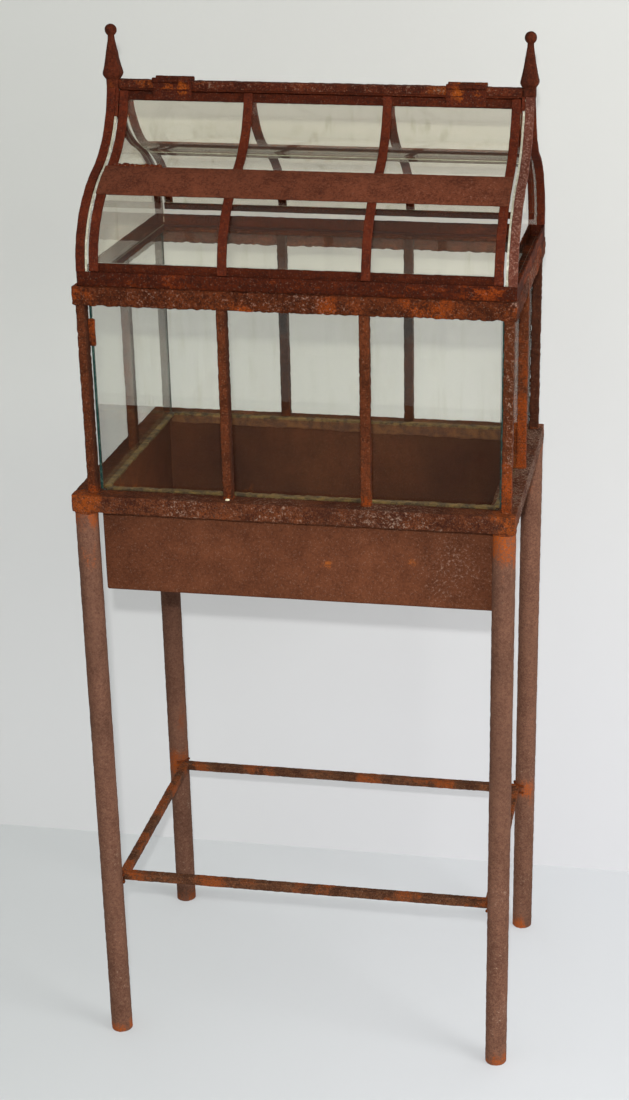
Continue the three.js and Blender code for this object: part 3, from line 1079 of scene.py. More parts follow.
def weld_ring(
    middle: Sequence[float], half: Sequence[float], radius: float, seed: int, square: float = 6.0
) -> Shell:
    """A lumpy bead of weld round the foot or the head of a bar.

    The path is a superellipse in a level plane. The bead's section is a circle whose radius
    swells and shrinks with noise along the path.

    Args:
        middle: The middle of the ring.
        half: Half lengths of the path along X and Y.
        radius: The bead's mean radius.
        seed: Picks the lumps.
        square: The superellipse's power: 2 is round, and more is squarer.

    Returns:
        The closed shell.
    """
    turn, around = full_turn(WELD_STEPS), full_turn(BEAD_STEPS)
    cos, sin = np.cos(turn), np.sin(turn)
    reach = (np.abs(cos) ** square + np.abs(sin) ** square) ** (-1 / square)
    path = np.stack([half[0] * reach * cos, half[1] * reach * sin], axis=-1)
    away = unit(path)
    places = np.concatenate([path, np.full((len(turn), 1), float(seed))], axis=1)
    size = radius * (0.55 + 0.9 * fractal_noise(places, 7.0, seed, 2))
    flat = path[:, None, :] + away[:, None, :] * (size[:, None] * np.cos(around))[..., None]
    rise = (size[:, None] * np.sin(around))[..., None]
    loops = np.concatenate([flat, rise], axis=-1)
    return loft(loops, endless=True).moved(middle)


# Stand

# Painted shade: how dark each leg is at its foot, and how much darker at its head under the frame.
PAINTED_LEG_SHADE = {
    (Side.FRONT, End.LEFT): (0.05, 0.15), (Side.FRONT, End.RIGHT): (0.0, 0.2),
    (Side.BACK, End.LEFT): (0.25, 0.1), (Side.BACK, End.RIGHT): (0.0, 0.0),
}


def leg_box(side: Side, end: End) -> tuple[np.ndarray, np.ndarray]:
    """The middle and the size of a leg."""
    return node_box(f"leg_{side.word}_{end.word}")


@dataclass
class Stand:
    """Four tube legs, a ring of stretchers, the base frame and the planting pan."""

    leg_wall: float = 3.0
    leg_spacing: float = 3.0
    frame_steel: float = 4.0
    ledge: float = 38.0
    pan_sheet: float = 2.0
    pan_dim: float = 0.37
    foot_orange: float = 24.0
    head_orange: tuple = (26.0, 1.0)
    front_right_orange: tuple = (46.0, 1.4)
    stretcher_level: float = 262.0

    def build(self) -> None:
        """Builds every piece of the stand."""
        for side, end in CORNERS:
            self.leg(side, end)
        for place in ("front", "back", "left", "right"):
            self.stretcher(place)
        self.base_frame()
        self.pan()
        self.pan_strip()
        self.welds()

    def leg(self, side: Side, end: End) -> None:
        """A hollow tube: a thin upright ring section carried round the leg's own axis.

        Args:
            side: Front or back.
            end: Left or right.
        """
        node = f"leg_{side.word}_{end.word}"
        middle, size = leg_box(side, end)
        low, high = node_levels(node)
        x, y = middle[:2]
        outer = size[0] / 2
        shell = tube(outer - self.leg_wall, outer, low, high, self.leg_spacing)
        shell.moved((x, y, 0.0))
        right_front = (side, end) == (Side.FRONT, End.RIGHT)
        fresh = (
            (x, y, low, self.foot_orange, 1.1),
            (x, y, high, *(self.front_right_orange if right_front else self.head_orange)),
            (x, y - 16.0, high - 70.0, 24.0, 0.5),
            (x, y - 16 * side.value, self.stretcher_level, 26.0, 0.8),
        )
        # Pale scale that is also a painted highlight, on the leg's right front side.
        scale = tuple((x + 12.0, y - 8.0, z, 60.0, 0.42) for z in (90.0, 190.0, 300.0))
        wear = Wear(0.7, 8.0, 11 + 2 * side.value + end.value, fresh, scale, swell=0.0)
        shell = wear.eat(shell)
        # Painted shade, deeper towards the leg's head under the frame.
        foot_shade, head_shade = PAINTED_LEG_SHADE[side, end]
        shell.dims = foot_shade + head_shade * smooth_step(shell.points[:, 2], 200.0, 560.0)
        make_iron(node, shell, LEG_RUST, Body.CASE, wear)

    def stretcher(self, place: str) -> None:
        """A square bar between two legs, its ends hollowed to their round.

        Args:
            place: The side of the stand that it runs along.
        """
        node = f"stretcher_{place}"
        middle, size = node_box(node)
        shell = rounded_block(size, 1.2, 3.0).moved(middle)
        for side, end in CORNERS:
            leg, leg_size = leg_box(side, end)
            away = shell.points[:, :2] - leg[:2]
            reach = np.linalg.norm(away, axis=1, keepdims=True)
            clear = leg_size[0] / 2 - 0.2
            shell.points[:, :2] = np.where(
                reach < clear, leg[:2] + away / np.maximum(reach, TINY) * clear,
                shell.points[:, :2],
            )
        along = np.where(size == size.max(), size / 2, 0.0)
        fresh = tuple(
            (*(middle + share * along), 34.0, 0.55) for share in (-0.95, -0.5, 0.1, 0.55, 0.95)
        )
        wear = Wear(0.8, 8.0, 31 + len(place), fresh)
        make_iron(node, wear.eat(shell), STRETCHER_RUST, Body.CASE, wear)

    def base_frame(self) -> None:
        """Angle iron round the top of the legs: upright outside, with a wide level ledge."""
        node = "base_frame"
        middle, size = node_box(node)
        low, high = node_levels(node)
        shell = angle_ring(size, (low, high), self.ledge, self.frame_steel, (2.4, 2.6))
        shell.moved((middle[0], middle[1], 0.0))
        x, y = size[0] / 2, size[1] / 2
        fresh = (
            (-x, -y, high, 60.0, 0.62), (x, -y, high, 32.0, 0.9), (x, y, high, 30.0, 0.5),
            (-x, y, high, 30.0, 0.7),
        )
        # Pale scale along the front; on the right side it is also a painted highlight.
        scale = (
            (-140.0, -y, 860.0, 60.0, 0.55), (-20.0, -y, 860.0, 90.0, 0.5),
            (130.0, -y, 860.0, 110.0, 0.6), (x, 150.0, 868.0, 100.0, 0.8),
            (x, 0.0, 868.0, 110.0, 0.8), (x, -120.0, 868.0, 70.0, 0.75),
        )
        dark = ((55.0, -y, 864.0, 26.0, 0.4), (90.0, -y, 862.0, 20.0, 0.35))
        wear = Wear(1.1, 8.0, 41, fresh, scale, dark, swell=0.0)
        make_iron(node, wear.eat(shell), FRAME_RUST, Body.CASE, wear)

    def pan(self) -> None:
        """A folded sheet pan.

        A path of inset and height runs from the middle of the floor inside, up the wall, over
        the rim, down outside and back under the floor, and is carried round the rectangle.
        """
        node = "planter_pan"
        middle, size = node_box(node)
        low, high = node_levels(node)
        half = (size[0] / 2 + 0.8, size[1] / 2)
        loops = frame_loops(self.pan_outline(low, high, half[1]), half, 6.0, 1.2)
        stations, around = loops.shape[:2]
        index = np.arange(stations * around).reshape(stations, around)
        nearer, further = index[:, :-1], index[:, 1:]
        quads = np.stack(
            [nearer, further, np.roll(further, -1, axis=0), np.roll(nearer, -1, axis=0)], axis=-1
        )
        shell = Shell(loops.reshape(-1, 3), quads.reshape(-1, 4)).welded().outward()
        shell.moved((middle[0], middle[1], 0.0))
        # The large patch on the left inner wall is orange rust and also painted light on a wall in
        # the frame's shade.
        fresh = (
            (40.0, -174.0, 778.0, 17.0, 0.7), (161.0, -174.0, 789.0, 14.0, 0.7),
            (-149.0, 172.0, 754.0, 15.0, 1.5), (-270.0, -60.0, 815.0, 90.0, 0.55),
        )
        scale = ((222.0, -174.0, 785.0, 60.0, 0.42), (205.0, -174.0, 755.0, 40.0, 0.38))
        wear = Wear(0.3, 40.0, 51, fresh, scale)
        inside = (np.abs(shell.points[:, :2] - middle[:2]) < np.array(half) - 1.5).all(axis=1)
        dim = self.pan_grime(shell.points, half[0])
        shell = wear.eat(shell)
        # Painted shade: the outside darkens over its left front; the inside takes its own painted
        # shade and blotches.
        shade = spot_mask(shell.points, [(-270.0, -174.0, 850.0, 150.0, 0.12)])
        shell.dims = np.where(inside & (shell.points[:, 2] > low + 1.5), dim, shade)
        make_iron(node, shell, PAN_RUST, Body.CASE, wear)

    def pan_outline(self, low: float, high: float, half: float) -> np.ndarray:
        """The path of inset and height that the pan's sheet follows.

        Args:
            low: Level of the floor's underside.
            high: Level of the rim.
            half: Half the pan's depth, where the path starts and ends.

        Returns:
            Points by two.
        """
        sheet = self.pan_sheet
        wall = np.arange(low + 8.0, high - 2.0, 6.0)
        floor = np.arange(14.0, half - 4.0, 12.0)
        inside = [(half, low + sheet)]
        inside += [(a, low + sheet) for a in floor[::-1]]
        inside += [(sheet + 3.0, low + sheet), (sheet + 1.0, low + sheet + 1.0)]
        inside += [(sheet, low + sheet + 3.0)] + [(sheet, z) for z in wall]
        over = [(sheet, high - 0.4), (sheet / 2, high), (0.0, high - 0.4)]
        outside = [(0.0, z) for z in wall[::-1]] + [(0.0, low + 3.0), (0.9, low + 0.9)]
        outside += [(3.0, low)] + [(a, low) for a in floor] + [(half, low)]
        return np.array(inside + over + outside)

    def pan_grime(self, points: np.ndarray, half: float) -> np.ndarray:
        """Painted shade inside the pan: blotched, darker far back, none at its left front.

        Args:
            points: Places, one row each, in millimetres.
            half: Half the pan's length.

        Returns:
            One number for each point.
        """
        blotch = smooth_step(fractal_noise(points, 80.0, 53, 2), 0.35, 0.7)
        corner = spot_mask(
            points, [(-170.0, 170.0, 790.0, 110.0, 0.3), (210.0, 170.0, 790.0, 170.0, 0.2)]
        )
        left = smooth_step(-points[:, 0], half - 6.0, half - 4.0)
        front = 1 - smooth_step(points[:, 1], -60.0, 140.0)
        return (self.pan_dim + 0.2 * blotch + corner) * (1 - left * front)

    def pan_strip(self) -> None:
        """Old putty that has run down inside the pan's back wall, deeper to the right.

        A thin block's foot is drawn down by a share of its place along X plus noise.
        """
        middle, size = node_box("planter_pan")
        top = node_levels("planter_pan")[1] + 3.0
        shell = rounded_block((size[0] - 12.0, 2.6, 10.0), 0.9, 3.0)
        share = shell.points[:, 0] / size[0] + 0.5
        ragged = fractal_noise(shell.points * np.array([1.0, 0.0, 0.0]), 24.0, 57, 4)
        low = shell.points[:, 2] < 0
        shell.points[:, 2] -= np.where(low, 1.0 + 5.0 * share + 5.0 * (ragged - 0.5), 0.0)
        shell.moved((middle[0], middle[1] + size[1] / 2 - 3.6, top - 5.0))
        wear = Wear(0.6, 9.0, 58)
        make_piece("pan_putty_run", wear.eat(shell), [RUN_PUTTY], Body.CASE)

    def welds(self) -> None:
        """Beads of weld round the heads of the legs and at the stretchers' ends."""
        shells = []
        low, high = (np.array(corner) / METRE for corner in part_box("base_frame"))
        for side, end in CORNERS:
            middle, size = leg_box(side, end)
            place = (middle[0], middle[1], middle[2] + size[2] / 2 - 1.2)
            reach = size[0] / 2 - 0.6
            seed = 61 + side.value + 3 * end.value
            shells.append(weld_ring(place, (reach, reach), 1.8, seed, square=2.0))
        shell = joined(shells)
        shell.points[:, :2] = np.clip(shell.points[:, :2], low[:2] + 0.1, high[:2] - 0.1)
        make_piece("leg_head_welds", shell, [WELD_RUST], Body.CASE)
        make_piece("stretcher_welds", joined(self.stretcher_beads()), [WELD_RUST], Body.CASE)

    def stretcher_beads(self) -> list[Shell]:
        """Short beads where the stretchers meet the legs, above and below.

        Each path is an arc round the leg, on the side that faces the middle of the stand.

        Returns:
            One shell for each bead.
        """
        shells = []
        bar, bar_size = node_box("stretcher_front")
        for side, end in CORNERS:
            leg, size = leg_box(side, end)
            turn = math.atan2(-side.value, -end.value) + np.linspace(-0.75, 0.75, 16)
            reach = size[0] / 2 + 0.8
            for way in (-1, 1):
                level = np.full(len(turn), bar[2] + way * (bar_size[2] / 2 - 0.2))
                path = np.stack(
                    [leg[0] + reach * np.cos(turn), leg[1] + reach * np.sin(turn), level], axis=-1
                )
                shells.append(bead(path, 2.0, 66 + way + 3 * side.value + 9 * end.value))
        return shells


# Glazed box


BOX_PANES = ("front_pane", "back_pane", "left_end_pane", "right_end_pane")


@dataclass
class GlazedBox:
    """Square bars between the base frame and the collar, with a pane inside each face."""

    collar_steel: float = 4.0
    collar_width: float = 25.0
    pane_edge: float = 0.5
    grime: float = 0.5
    middle_x: float = 6.4

    def build(self) -> None:
        """Builds every piece of the box."""
        seed = 70
        for side, end in CORNERS:
            for node in (f"corner_post_{side.word}_{end.word}", f"{side.word}_bar_{end.word}"):
                seed += 1
                self.upright(node, seed)
        for end in End:
            self.upright(f"{end.word}_end_bar", 80 + end.value)
        self.collar()
        for node in BOX_PANES:
            self.pane(node)
        self.clip()
        self.welds()
        self.putty()

    def upright(self, node: str, seed: int) -> None:
        """A square bar from the ledge to the collar, grimy on the faces towards the glass.

        Args:
            node: The CAD node that it stands for.
            seed: Picks its lumps and pits.
        """
        middle, size = node_box(node)
        x, y = middle[:2]
        foot = middle[2] - size[2] / 2
        fresh = [(x, y, foot, 16.0, 0.3 if "back" in node else 0.8)]
        scale: list[Spot] = []
        if node == "corner_post_front_right":
            fresh.append((x, y, foot + 20.0, 42.0, 0.75))
            # Pale scale on the post's right face, which is also a painted highlight.
            levels = np.arange(940.0, 1130.0, 12.0)
            scale = [(x + size[0] / 2, y, level, 17.0, 0.45) for level in levels]
        if node == "right_end_bar":
            fresh.append((x, y, foot + 60.0, 90.0, 0.5))
        wear = Wear(1.3, 5.0, seed, tuple(fresh), tuple(scale), swell=1.0)
        shell = wear.eat(rounded_block(size, 1.2, 2.4).moved(middle))
        inner = np.zeros(len(shell.points))
        for word, axis, way in (("back", 1, -1), ("left", 0, 1)):
            if word in node:
                out = way * (shell.points[:, axis] - middle[axis])
                face = size[axis] / 2
                inner = np.maximum(inner, smooth_step(out, face - 1.6, face - 0.8))
        shell.dims = self.grime * inner
        make_iron(node, shell, BAR_RUST, Body.CASE, wear)

    def collar(self) -> None:
        """Angle iron round the top of the box, with ragged lower edges."""
        node = "collar_frame"
        middle, size = node_box(node)
        low, high = node_levels(node)
        shell = angle_ring(size, (low, high), self.collar_width, self.collar_steel, (2.2, 2.5))
        ragged = fractal_noise(shell.points * np.array([1, 1, 0]), 6.0, 92, 3)
        foot = 1 - smooth_step(shell.points[:, 2], low, low + 9.0)
        shell.points[:, 2] += foot * 1.8 * smooth_step(ragged, 0.35, 0.75)
        shell.moved((middle[0], middle[1], 0.0))
        x0, x1, y = middle[0] - size[0] / 2, middle[0] + size[0] / 2, size[1] / 2
        # Orange patches; the two along the right side are also painted light.
        fresh = (
            (x0, -y, high, 34.0, 0.5), (180.0, -y, low, 34.0, 0.65), (x1, -y, high, 18.0, 0.4),
            (x1, -60.0, high, 70.0, 0.5), (x1, 90.0, high, 80.0, 0.6),
            (-60.0, -y, low, 20.0, 0.7), (60.0, -y, low, 24.0, 0.5),
        )
        # Pale scale; along the right side it is also a painted highlight.
        scale = (
            (-180.0, -y, high, 90.0, 0.45), (0.0, -y, high, 120.0, 0.45),
            (x1, -y, high, 10.0, 1.0), (x1, 0.0, high, 150.0, 0.65),
        )
        wear = Wear(1.5, 7.0, 91, fresh, scale)
        make_iron(node, wear.eat(shell), COLLAR_RUST, Body.CASE, wear)

    def pane(self, node: str) -> None:
        """A slightly uneven pane with a green cut edge.

        Args:
            node: The CAD node that it stands for.
        """
        middle, size = node_box(node)
        shell = rounded_block(size, self.pane_edge, 14.0)
        thin = int(np.argmin(size))
        edge = np.abs(shell.points[shell.quads].mean(axis=1)[:, thin]) < size[thin] / 2 - 0.12
        shell.slots = edge.astype(int)
        wave = fractal_noise(shell.points, 160.0, 95, 2) - 0.5
        shell.points[:, thin] += 0.3 * wave
        shell.moved(middle)
        make_glass(node, shell, [BOX_GLASS, GLASS_EDGE], Body.CASE)

    def clip(self) -> None:
        """The bright orange tab that holds the front pane."""
        wear = Wear(0.7, 5.0, 97, ((-283.0, -185.0, 1095.0, 60.0, 0.5),))
        iron_bar("glass_clip", COLLAR_RUST, Body.CASE, wear, 0.7, 1.6)

    def welds(self) -> None:
        """Beads of weld round the feet of the uprights."""
        shells = []
        nodes = [f"corner_post_{side.word}_{end.word}" for side, end in CORNERS]
        nodes += [f"{side.word}_bar_{end.word}" for side, end in CORNERS]
        nodes += [f"{end.word}_end_bar" for end in End]
        for seed, node in enumerate(nodes):
            middle, size = node_box(node)
            place = (middle[0], middle[1], middle[2] - size[2] / 2 + 0.6)
            shells.append(weld_ring(place, (size[0] / 2, size[1] / 2), 1.6, 100 + seed))
        make_piece("upright_foot_welds", joined(shells), [WELD_RUST], Body.CASE)

    def putty(self) -> None:
        """Crumbling strips of putty along the feet of the panes, and a pale chip of it."""
        shells = []
        for number, node in enumerate(BOX_PANES):
            middle, size = node_box(node)
            along = int(np.argmax(size[:2]))
            across = 1 - along
            inward = -np.sign(middle[across] - (self.middle_x if across == 0 else 0.0))
            block = [9.0, 9.0, 3.4]
            block[along] = size[along] - 12.0
            place = middle.copy()
            place[across] += inward * (size[across] / 2 + 3.2)
            place[2] = middle[2] - size[2] / 2 + 1.0
            shell = rounded_block(block, 1.2, 3.0).moved(place)
            shells.append(Wear(1.8, 9.0, 120 + number).eat(shell))
        make_piece("pane_putty", joined(shells), [PUTTY], Body.CASE)
        foot = middle[2] - size[2] / 2
        chip = Wear(1.2, 2.0, 131).eat(rounded_block((5.0, 3.0, 2.4), 0.9, 1.0))
        make_piece("putty_chip", chip.moved((-88.0, -197.0, foot + 0.2)), [CHIP_PUTTY], Body.CASE)


# Roof


@dataclass
class Ogee:
    """The roof's profile: two cubic curves end to end, from the ridge to the foot.

    The shares run out over the half depth and up over the rise, as the handles of the curves.
    """

    half_depth: float
    foot: float
    top: float
    ridge_half_run: float = 10.0
    run_shares: tuple = (0.0, 0.053, 0.261, 0.454, 0.686, 1.0, 1.0)
    rise_shares: tuple = (1.0, 0.779, 0.625, 0.564, 0.492, 0.302, 0.0)
    samples: np.ndarray = field(init=False)

    def __post_init__(self) -> None:
        """Samples length, place and normal along the curves."""
        span = self.half_depth - self.ridge_half_run
        run = self.ridge_half_run + np.array(self.run_shares) * span
        rise = self.foot + np.array(self.rise_shares) * (self.top - self.foot)
        handles = np.stack([run, rise], axis=-1)
        share = np.linspace(0, 1, 61)[:, None]
        rest = 1 - share
        weights = (rest**3, 3 * share * rest**2, 3 * share**2 * rest, share**3)
        parts = [sum(w * handles[start + k] for k, w in enumerate(weights)) for start in (0, 3)]
        line = np.vstack([parts[0], parts[1][1:]])
        step = unit(np.gradient(line, axis=0))
        length = np.concatenate([[0], np.cumsum(np.linalg.norm(np.diff(line, axis=0), axis=1))])
        samples = np.column_stack([length, line, -step[:, 1], step[:, 0]])
        beyond = np.array([10.0, 0.0, -10.0, 0.0, 0.0])
        self.samples = np.vstack([samples[0] - beyond, samples, samples[-1] + beyond])

    def length_at(self, height: float) -> float:
        """Length along the curve where it is at a height."""
        return float(np.interp(-height, -self.samples[:, 2], self.samples[:, 0]))

    def out_at(self, height: np.ndarray, depth: float) -> np.ndarray:
        """How far out the line at a depth under the curve is.

        Args:
            height: The heights to look at.
            depth: The line's depth under the curve.

        Returns:
            One distance for each height.
        """
        out = self.samples[:, 1] - depth * self.samples[:, 3]
        up = self.samples[:, 2] - depth * self.samples[:, 4]
        return np.interp(-height, -up, out)

    def carry(self, shell: Shell, side: int, start: float, middle_x: float, depth: float) -> Shell:
        """Lays a straight block on the curve.

        The block's X becomes length along the curve, its Y becomes X, and its Z becomes
        height over the curve's line at a depth.

        Args:
            shell: The block, centred on the origin.
            side: -1 for the front or 1 for the back.
            start: Length along the curve of the block's low X end.
            middle_x: Where the block's Y of 0 lies along X.
            depth: Depth under the curve of the block's Z of 0.

        Returns:
            The laid shell.
        """
        local = shell.points
        along = local[:, 0] - local[:, 0].min() + start
        out, up, n_out, n_up = (
            np.interp(along, self.samples[:, 0], self.samples[:, k]) for k in (1, 2, 3, 4)
        )
        rise = local[:, 2] - depth
        shell.points = np.stack(
            [middle_x + local[:, 1], side * (out + rise * n_out), up + rise * n_up], axis=-1
        )
        return shell.outward()


@dataclass
class Roof:
    """The roof's fixed parts: base frame, gables, ridge, finials and hinge plates."""

    ogee: Ogee
    middle_x: float
    rib_width: float = 12.0
    rib_thickness: float = 5.0
    rib_lap: float = 2.5
    base_flange: float = 19.0
    base_steel: float = 3.0
    gable_inset: float = 3.0
    knuckle: float = 3.5
    pin_hole: float = 1.85
    leaf_steel: float = 2.0
    plate_drop: float = 1.9
    crust_width: float = 5.2
    crust_lengths: tuple = ((End.LEFT, 38.0), (End.RIGHT, 18.0))
    ball: float = 8.25
    spear: tuple = (
        (0.0, 8.0), (1.0, 8.5), (13.0, 8.5), (16.0, 10.6), (19.5, 12.3), (22.5, 12.1),
        (30.0, 10.3), (40.0, 8.4), (49.5, 7.0), (58.0, 5.6), (65.0, 4.6), (70.5, 4.4),
    )

    def build(self) -> None:
        """Builds every fixed piece of the roof."""
        self.base_frame()
        seed = 200
        for end in End:
            for side in Side:
                seed += 1
                self.gable_rib(side, end, seed)
            self.gable_pane(end)
            self.finial(end)
        self.ridge()
        self.ridge_beads()
        self.gable_crusts()
        self.dress_hinges()

    def base_frame(self) -> None:
        """Small angle iron: upright outside, with the level flange at its foot."""
        node = "roof_base_frame"
        middle, size = node_box(node)
        low, high = node_levels(node)
        steel, flange = self.base_steel, self.base_flange
        corners = [
            (0, low), (0, high), (steel, high), (steel, low + steel), (flange, low + steel),
            (flange, low),
        ]
        outline = rounded_outline(corners, 0.9, 2.4)
        loops = frame_loops(outline, (size[0] / 2, size[1] / 2), 3.0, 2.0)
        shell = loft(loops, endless=True).moved((middle[0], middle[1], 0.0))
        y = size[1] / 2
        # Orange patches; the two along the right side are also painted light on its shaded flange.
        fresh = (
            (262.0, -y, 1170.0, 40.0, 0.7), (150.0, -y, 1165.0, 60.0, 0.35),
            (-10.0, -y, 1165.0, 50.0, 0.3), (-190.0, -y, 1165.0, 70.0, 0.3),
            (280.0, -60.0, 1165.0, 90.0, 0.6), (280.0, 90.0, 1165.0, 90.0, 0.7),
        )
        wear = Wear(0.7, 9.0, 210, fresh, swell=0.3)
        make_iron(node, wear.eat(shell), RAIL_RUST, Body.ROOF, wear)

    def gable_rib(self, side: Side, end: End, seed: int) -> None:
        """A flat bar bent to the ogee at the end of the roof. The one at the front right is paler.

        Args:
            side: Front or back.
            end: Left or right.
            seed: Picks its lumps and pits.
        """
        node = f"gable_rib_{side.word}_{end.word}"
        middle, _ = node_box(node)
        length = self.ogee.length_at(self.ogee.foot) + self.rib_lap
        shell = rounded_block((length, self.rib_width, self.rib_thickness), 1.0, 3.0)
        depth = self.rib_thickness / 2
        shell = self.ogee.carry(shell, side.value, -self.rib_lap, middle[0], depth)
        scale: tuple[Spot, ...] = ()
        finish = ROOF_RUST
        if (side, end) == (Side.FRONT, End.RIGHT):
            finish = PALE_RUST
            line = self.ogee.samples[8:-8:8]
            scale = tuple((middle[0], -out, up, 26.0, 0.72) for out, up in line[:, 1:3])
        wear = Wear(0.6, 9.0, seed, (), scale)
        make_iron(node, wear.eat(shell), finish, Body.ROOF, wear)

    def gable_crusts(self) -> None:
        """Rust that fills the top of the gap beside each gable rib, longer on the left."""
        shells = []
        for end, length in self.crust_lengths:
            middle, size = node_box(f"gable_rib_front_{end.word}")
            place = middle[0] - end.value * (size[0] / 2 + self.crust_width / 2)
            for side in Side:
                block = rounded_block((length, self.crust_width, 4.4), 1.0, 1.6)
                shell = self.ogee.carry(block, side.value, -self.rib_lap, place, 2.4)
                wear = Wear(1.0, 5.0, 270 + side.value + 3 * end.value, swell=0.0)
                shells.append(wear.eat(shell))
        make_piece("gable_crusts", joined(shells), [ROOF_RUST], Body.ROOF)

    def gable_pane(self, end: End) -> None:
        """A flat pane whose sides follow the ogee.

        The block's X becomes a share of the half width at each height.

        Args:
            end: Left or right.
        """
        node = f"gable_pane_{end.word}"
        middle, size = node_box(node)
        low = middle[2] - size[2] / 2
        shell = rounded_block((2.0, size[2], size[0]), 0.02, 6.0)
        share, up, thick = shell.points[:, 0], shell.points[:, 1], shell.points[:, 2]
        height = np.clip(up + size[2] / 2, 0.4, size[2] - 0.4) + low
        width = self.ogee.out_at(height, self.gable_inset)
        shell.points = np.stack([middle[0] + thick * 0.98, share * width, height], axis=-1)
        shell = shell.outward()
        facing = np.abs(unit(shell.face_vectors())[:, 0])
        shell.slots = (facing < 0.5).astype(int)
        make_glass(node, shell, [ROOF_GLASS, ROOF_EDGE], Body.ROOF)

    def finial(self, end: End) -> None:
        """A square spear that grows round towards its ball.

        Each level loop is a superellipse. Its half width follows the spear's widths, and its
        power falls from 9 at the square base to 2 at the ball.

        Args:
            end: Left or right.
        """
        node = f"finial_{end.word}"
        middle, size = node_box(node)
        low, _ = node_levels(node)
        arc = np.linspace(math.radians(-57), math.radians(86), 14)
        ball_middle = size[2] - self.ball
        ball = np.stack([ball_middle + self.ball * np.sin(arc), self.ball * np.cos(arc)], axis=-1)
        spear = np.array(self.spear)
        fine = np.arange(0.0, 70.0, 1.6)
        rows = np.stack([fine, np.interp(fine, spear[:, 0], spear[:, 1])], axis=-1)
        rows = np.vstack([rows, ball])
        power = np.interp(rows[:, 0], [0.0, 50.0, 68.0, 72.0], [9.0, 6.0, 3.0, 2.0])[:, None]
        turn = full_turn(FINIAL_STEPS)[None]
        reach = (np.abs(np.cos(turn)) ** power + np.abs(np.sin(turn)) ** power) ** (-1 / power)
        radius = rows[:, 1][:, None] * reach
        loops = np.stack([
            middle[0] + radius * np.cos(turn), middle[1] + radius * np.sin(turn),
            np.broadcast_to(low + rows[:, :1], radius.shape),
        ], axis=-1)
        fresh = ((middle[0], middle[1], low, 14.0, 0.4),)
        wear = Wear(0.35, 6.0, 230 + end.value, fresh, swell=0.0)
        shell = wear.eat(loft(loops, endless=False))
        # Painted shade: the spear and ball are darkened on their left side.
        shell.dims = 0.3 * smooth_step(middle[0] - shell.points[:, 0], 0.5, 5.0)
        make_iron(node, shell, FINIAL_RUST, Body.ROOF, wear)

    def ridge(self) -> None:
        """The square bar that both panels hang from."""
        fresh = (
            (-212.0, -6.0, 1393.0, 30.0, 0.9), (194.0, -6.0, 1393.0, 32.0, 0.8),
            (-150.0, -6.0, 1396.0, 14.0, 0.5),
        )
        scale = tuple((x, -6.0, 1400.0, 34.0, 0.5) for x in np.arange(-130.0, 260.0, 50.0))
        wear = Wear(0.9, 6.0, 240, fresh, scale)
        iron_bar("ridge_bar", RIDGE_RUST, Body.ROOF, wear)

    def ridge_beads(self) -> None:
        """Lumps of rust along both lower edges of the ridge bar, over the panels' heads."""
        middle, size = node_box("ridge_bar")
        along = np.arange(-size[0] / 2 + 3.0, size[0] / 2 - 3.0, 2.5) + middle[0]
        shells = []
        for side in Side:
            out = np.full_like(along, side.value * (size[1] / 2 + 0.9))
            rise = np.full_like(along, middle[2] - size[2] / 2 + 1.0)
            shells.append(bead(np.stack([along, out, rise], axis=-1), 1.7, 250 + side.value))
        make_piece("ridge_beads", joined(shells), [RAIL_RUST], Body.ROOF)

    def dress_hinges(self) -> None:
        """Gives the hinge plates, whose shapes are right, their rust, and makes the leaves."""
        for end in End:
            node = f"hinge_plate_{end.word}"
            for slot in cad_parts[node].material_slots:
                slot.material = HINGE_RUST.material()
            log.info("%s: dressed", node)
            for side in Side:
                self.hinge_leaf(side, end)

    def hinge_leaf(self, side: Side, end: End) -> None:
        """A thin plate over the panel's head, with a knuckle at each third beside the middle.

        The plate's upper edge is drawn down in its middle third, clear of the fixed knuckle.

        Args:
            side: Front or back.
            end: Left or right.
        """
        node = f"hinge_leaf_{side.word}_{end.word}"
        middle, size = node_box(node)
        way_out, steel = side.value, self.leaf_steel
        bottom = middle[2] - size[2] / 2
        top = middle[2] + size[2] / 2 - self.knuckle
        head = top - self.plate_drop
        axis = way_out * (node_box("ridge_bar")[1][1] / 2 + 0.3 + self.knuckle)
        inner = (size[0] - 1.0) / 6 + 0.5
        plate = rounded_block((size[0], steel, head - bottom), 0.5, 1.5)
        face = middle[1] + way_out * size[1] / 2
        if abs(axis) + self.knuckle > abs(face) - 0.01:
            face = way_out * (abs(middle[1]) - size[1] / 2 + steel)
        plate.moved((middle[0], face - way_out * steel / 2, (head + bottom) / 2))
        away = np.abs(plate.points[:, 0] - middle[0])
        share = 1 - smooth_step(away, inner, inner + 1.0)
        drawn = np.minimum(plate.points[:, 2], top - self.knuckle - 0.4)
        plate.points[:, 2] += share * (drawn - plate.points[:, 2])
        shells = [plate]
        for way in (-1, 1):
            start, stop = sorted((way * inner, way * size[0] / 2))
            ring = tube(self.pin_hole, self.knuckle, start, stop, 2.0)
            ring.points = ring.points[:, [2, 0, 1]]
            shells.append(ring.outward().moved((middle[0], axis, top)))
        strength = 1.1 if (side, end) == (Side.FRONT, End.LEFT) else 0.75
        fresh = ((middle[0] - 8.0, middle[1], 1393.0, 14.0, strength),
                 (middle[0] + 12.0, middle[1], 1392.0, 12.0, strength))
        wear = Wear(0.3, 5.0, 260 + way_out + 3 * end.value, fresh)
        body = Body.FRONT_PANEL if side is Side.FRONT else Body.BACK_PANEL
        make_iron(node, wear.eat(joined(shells)), LEAF_RUST, body, wear)


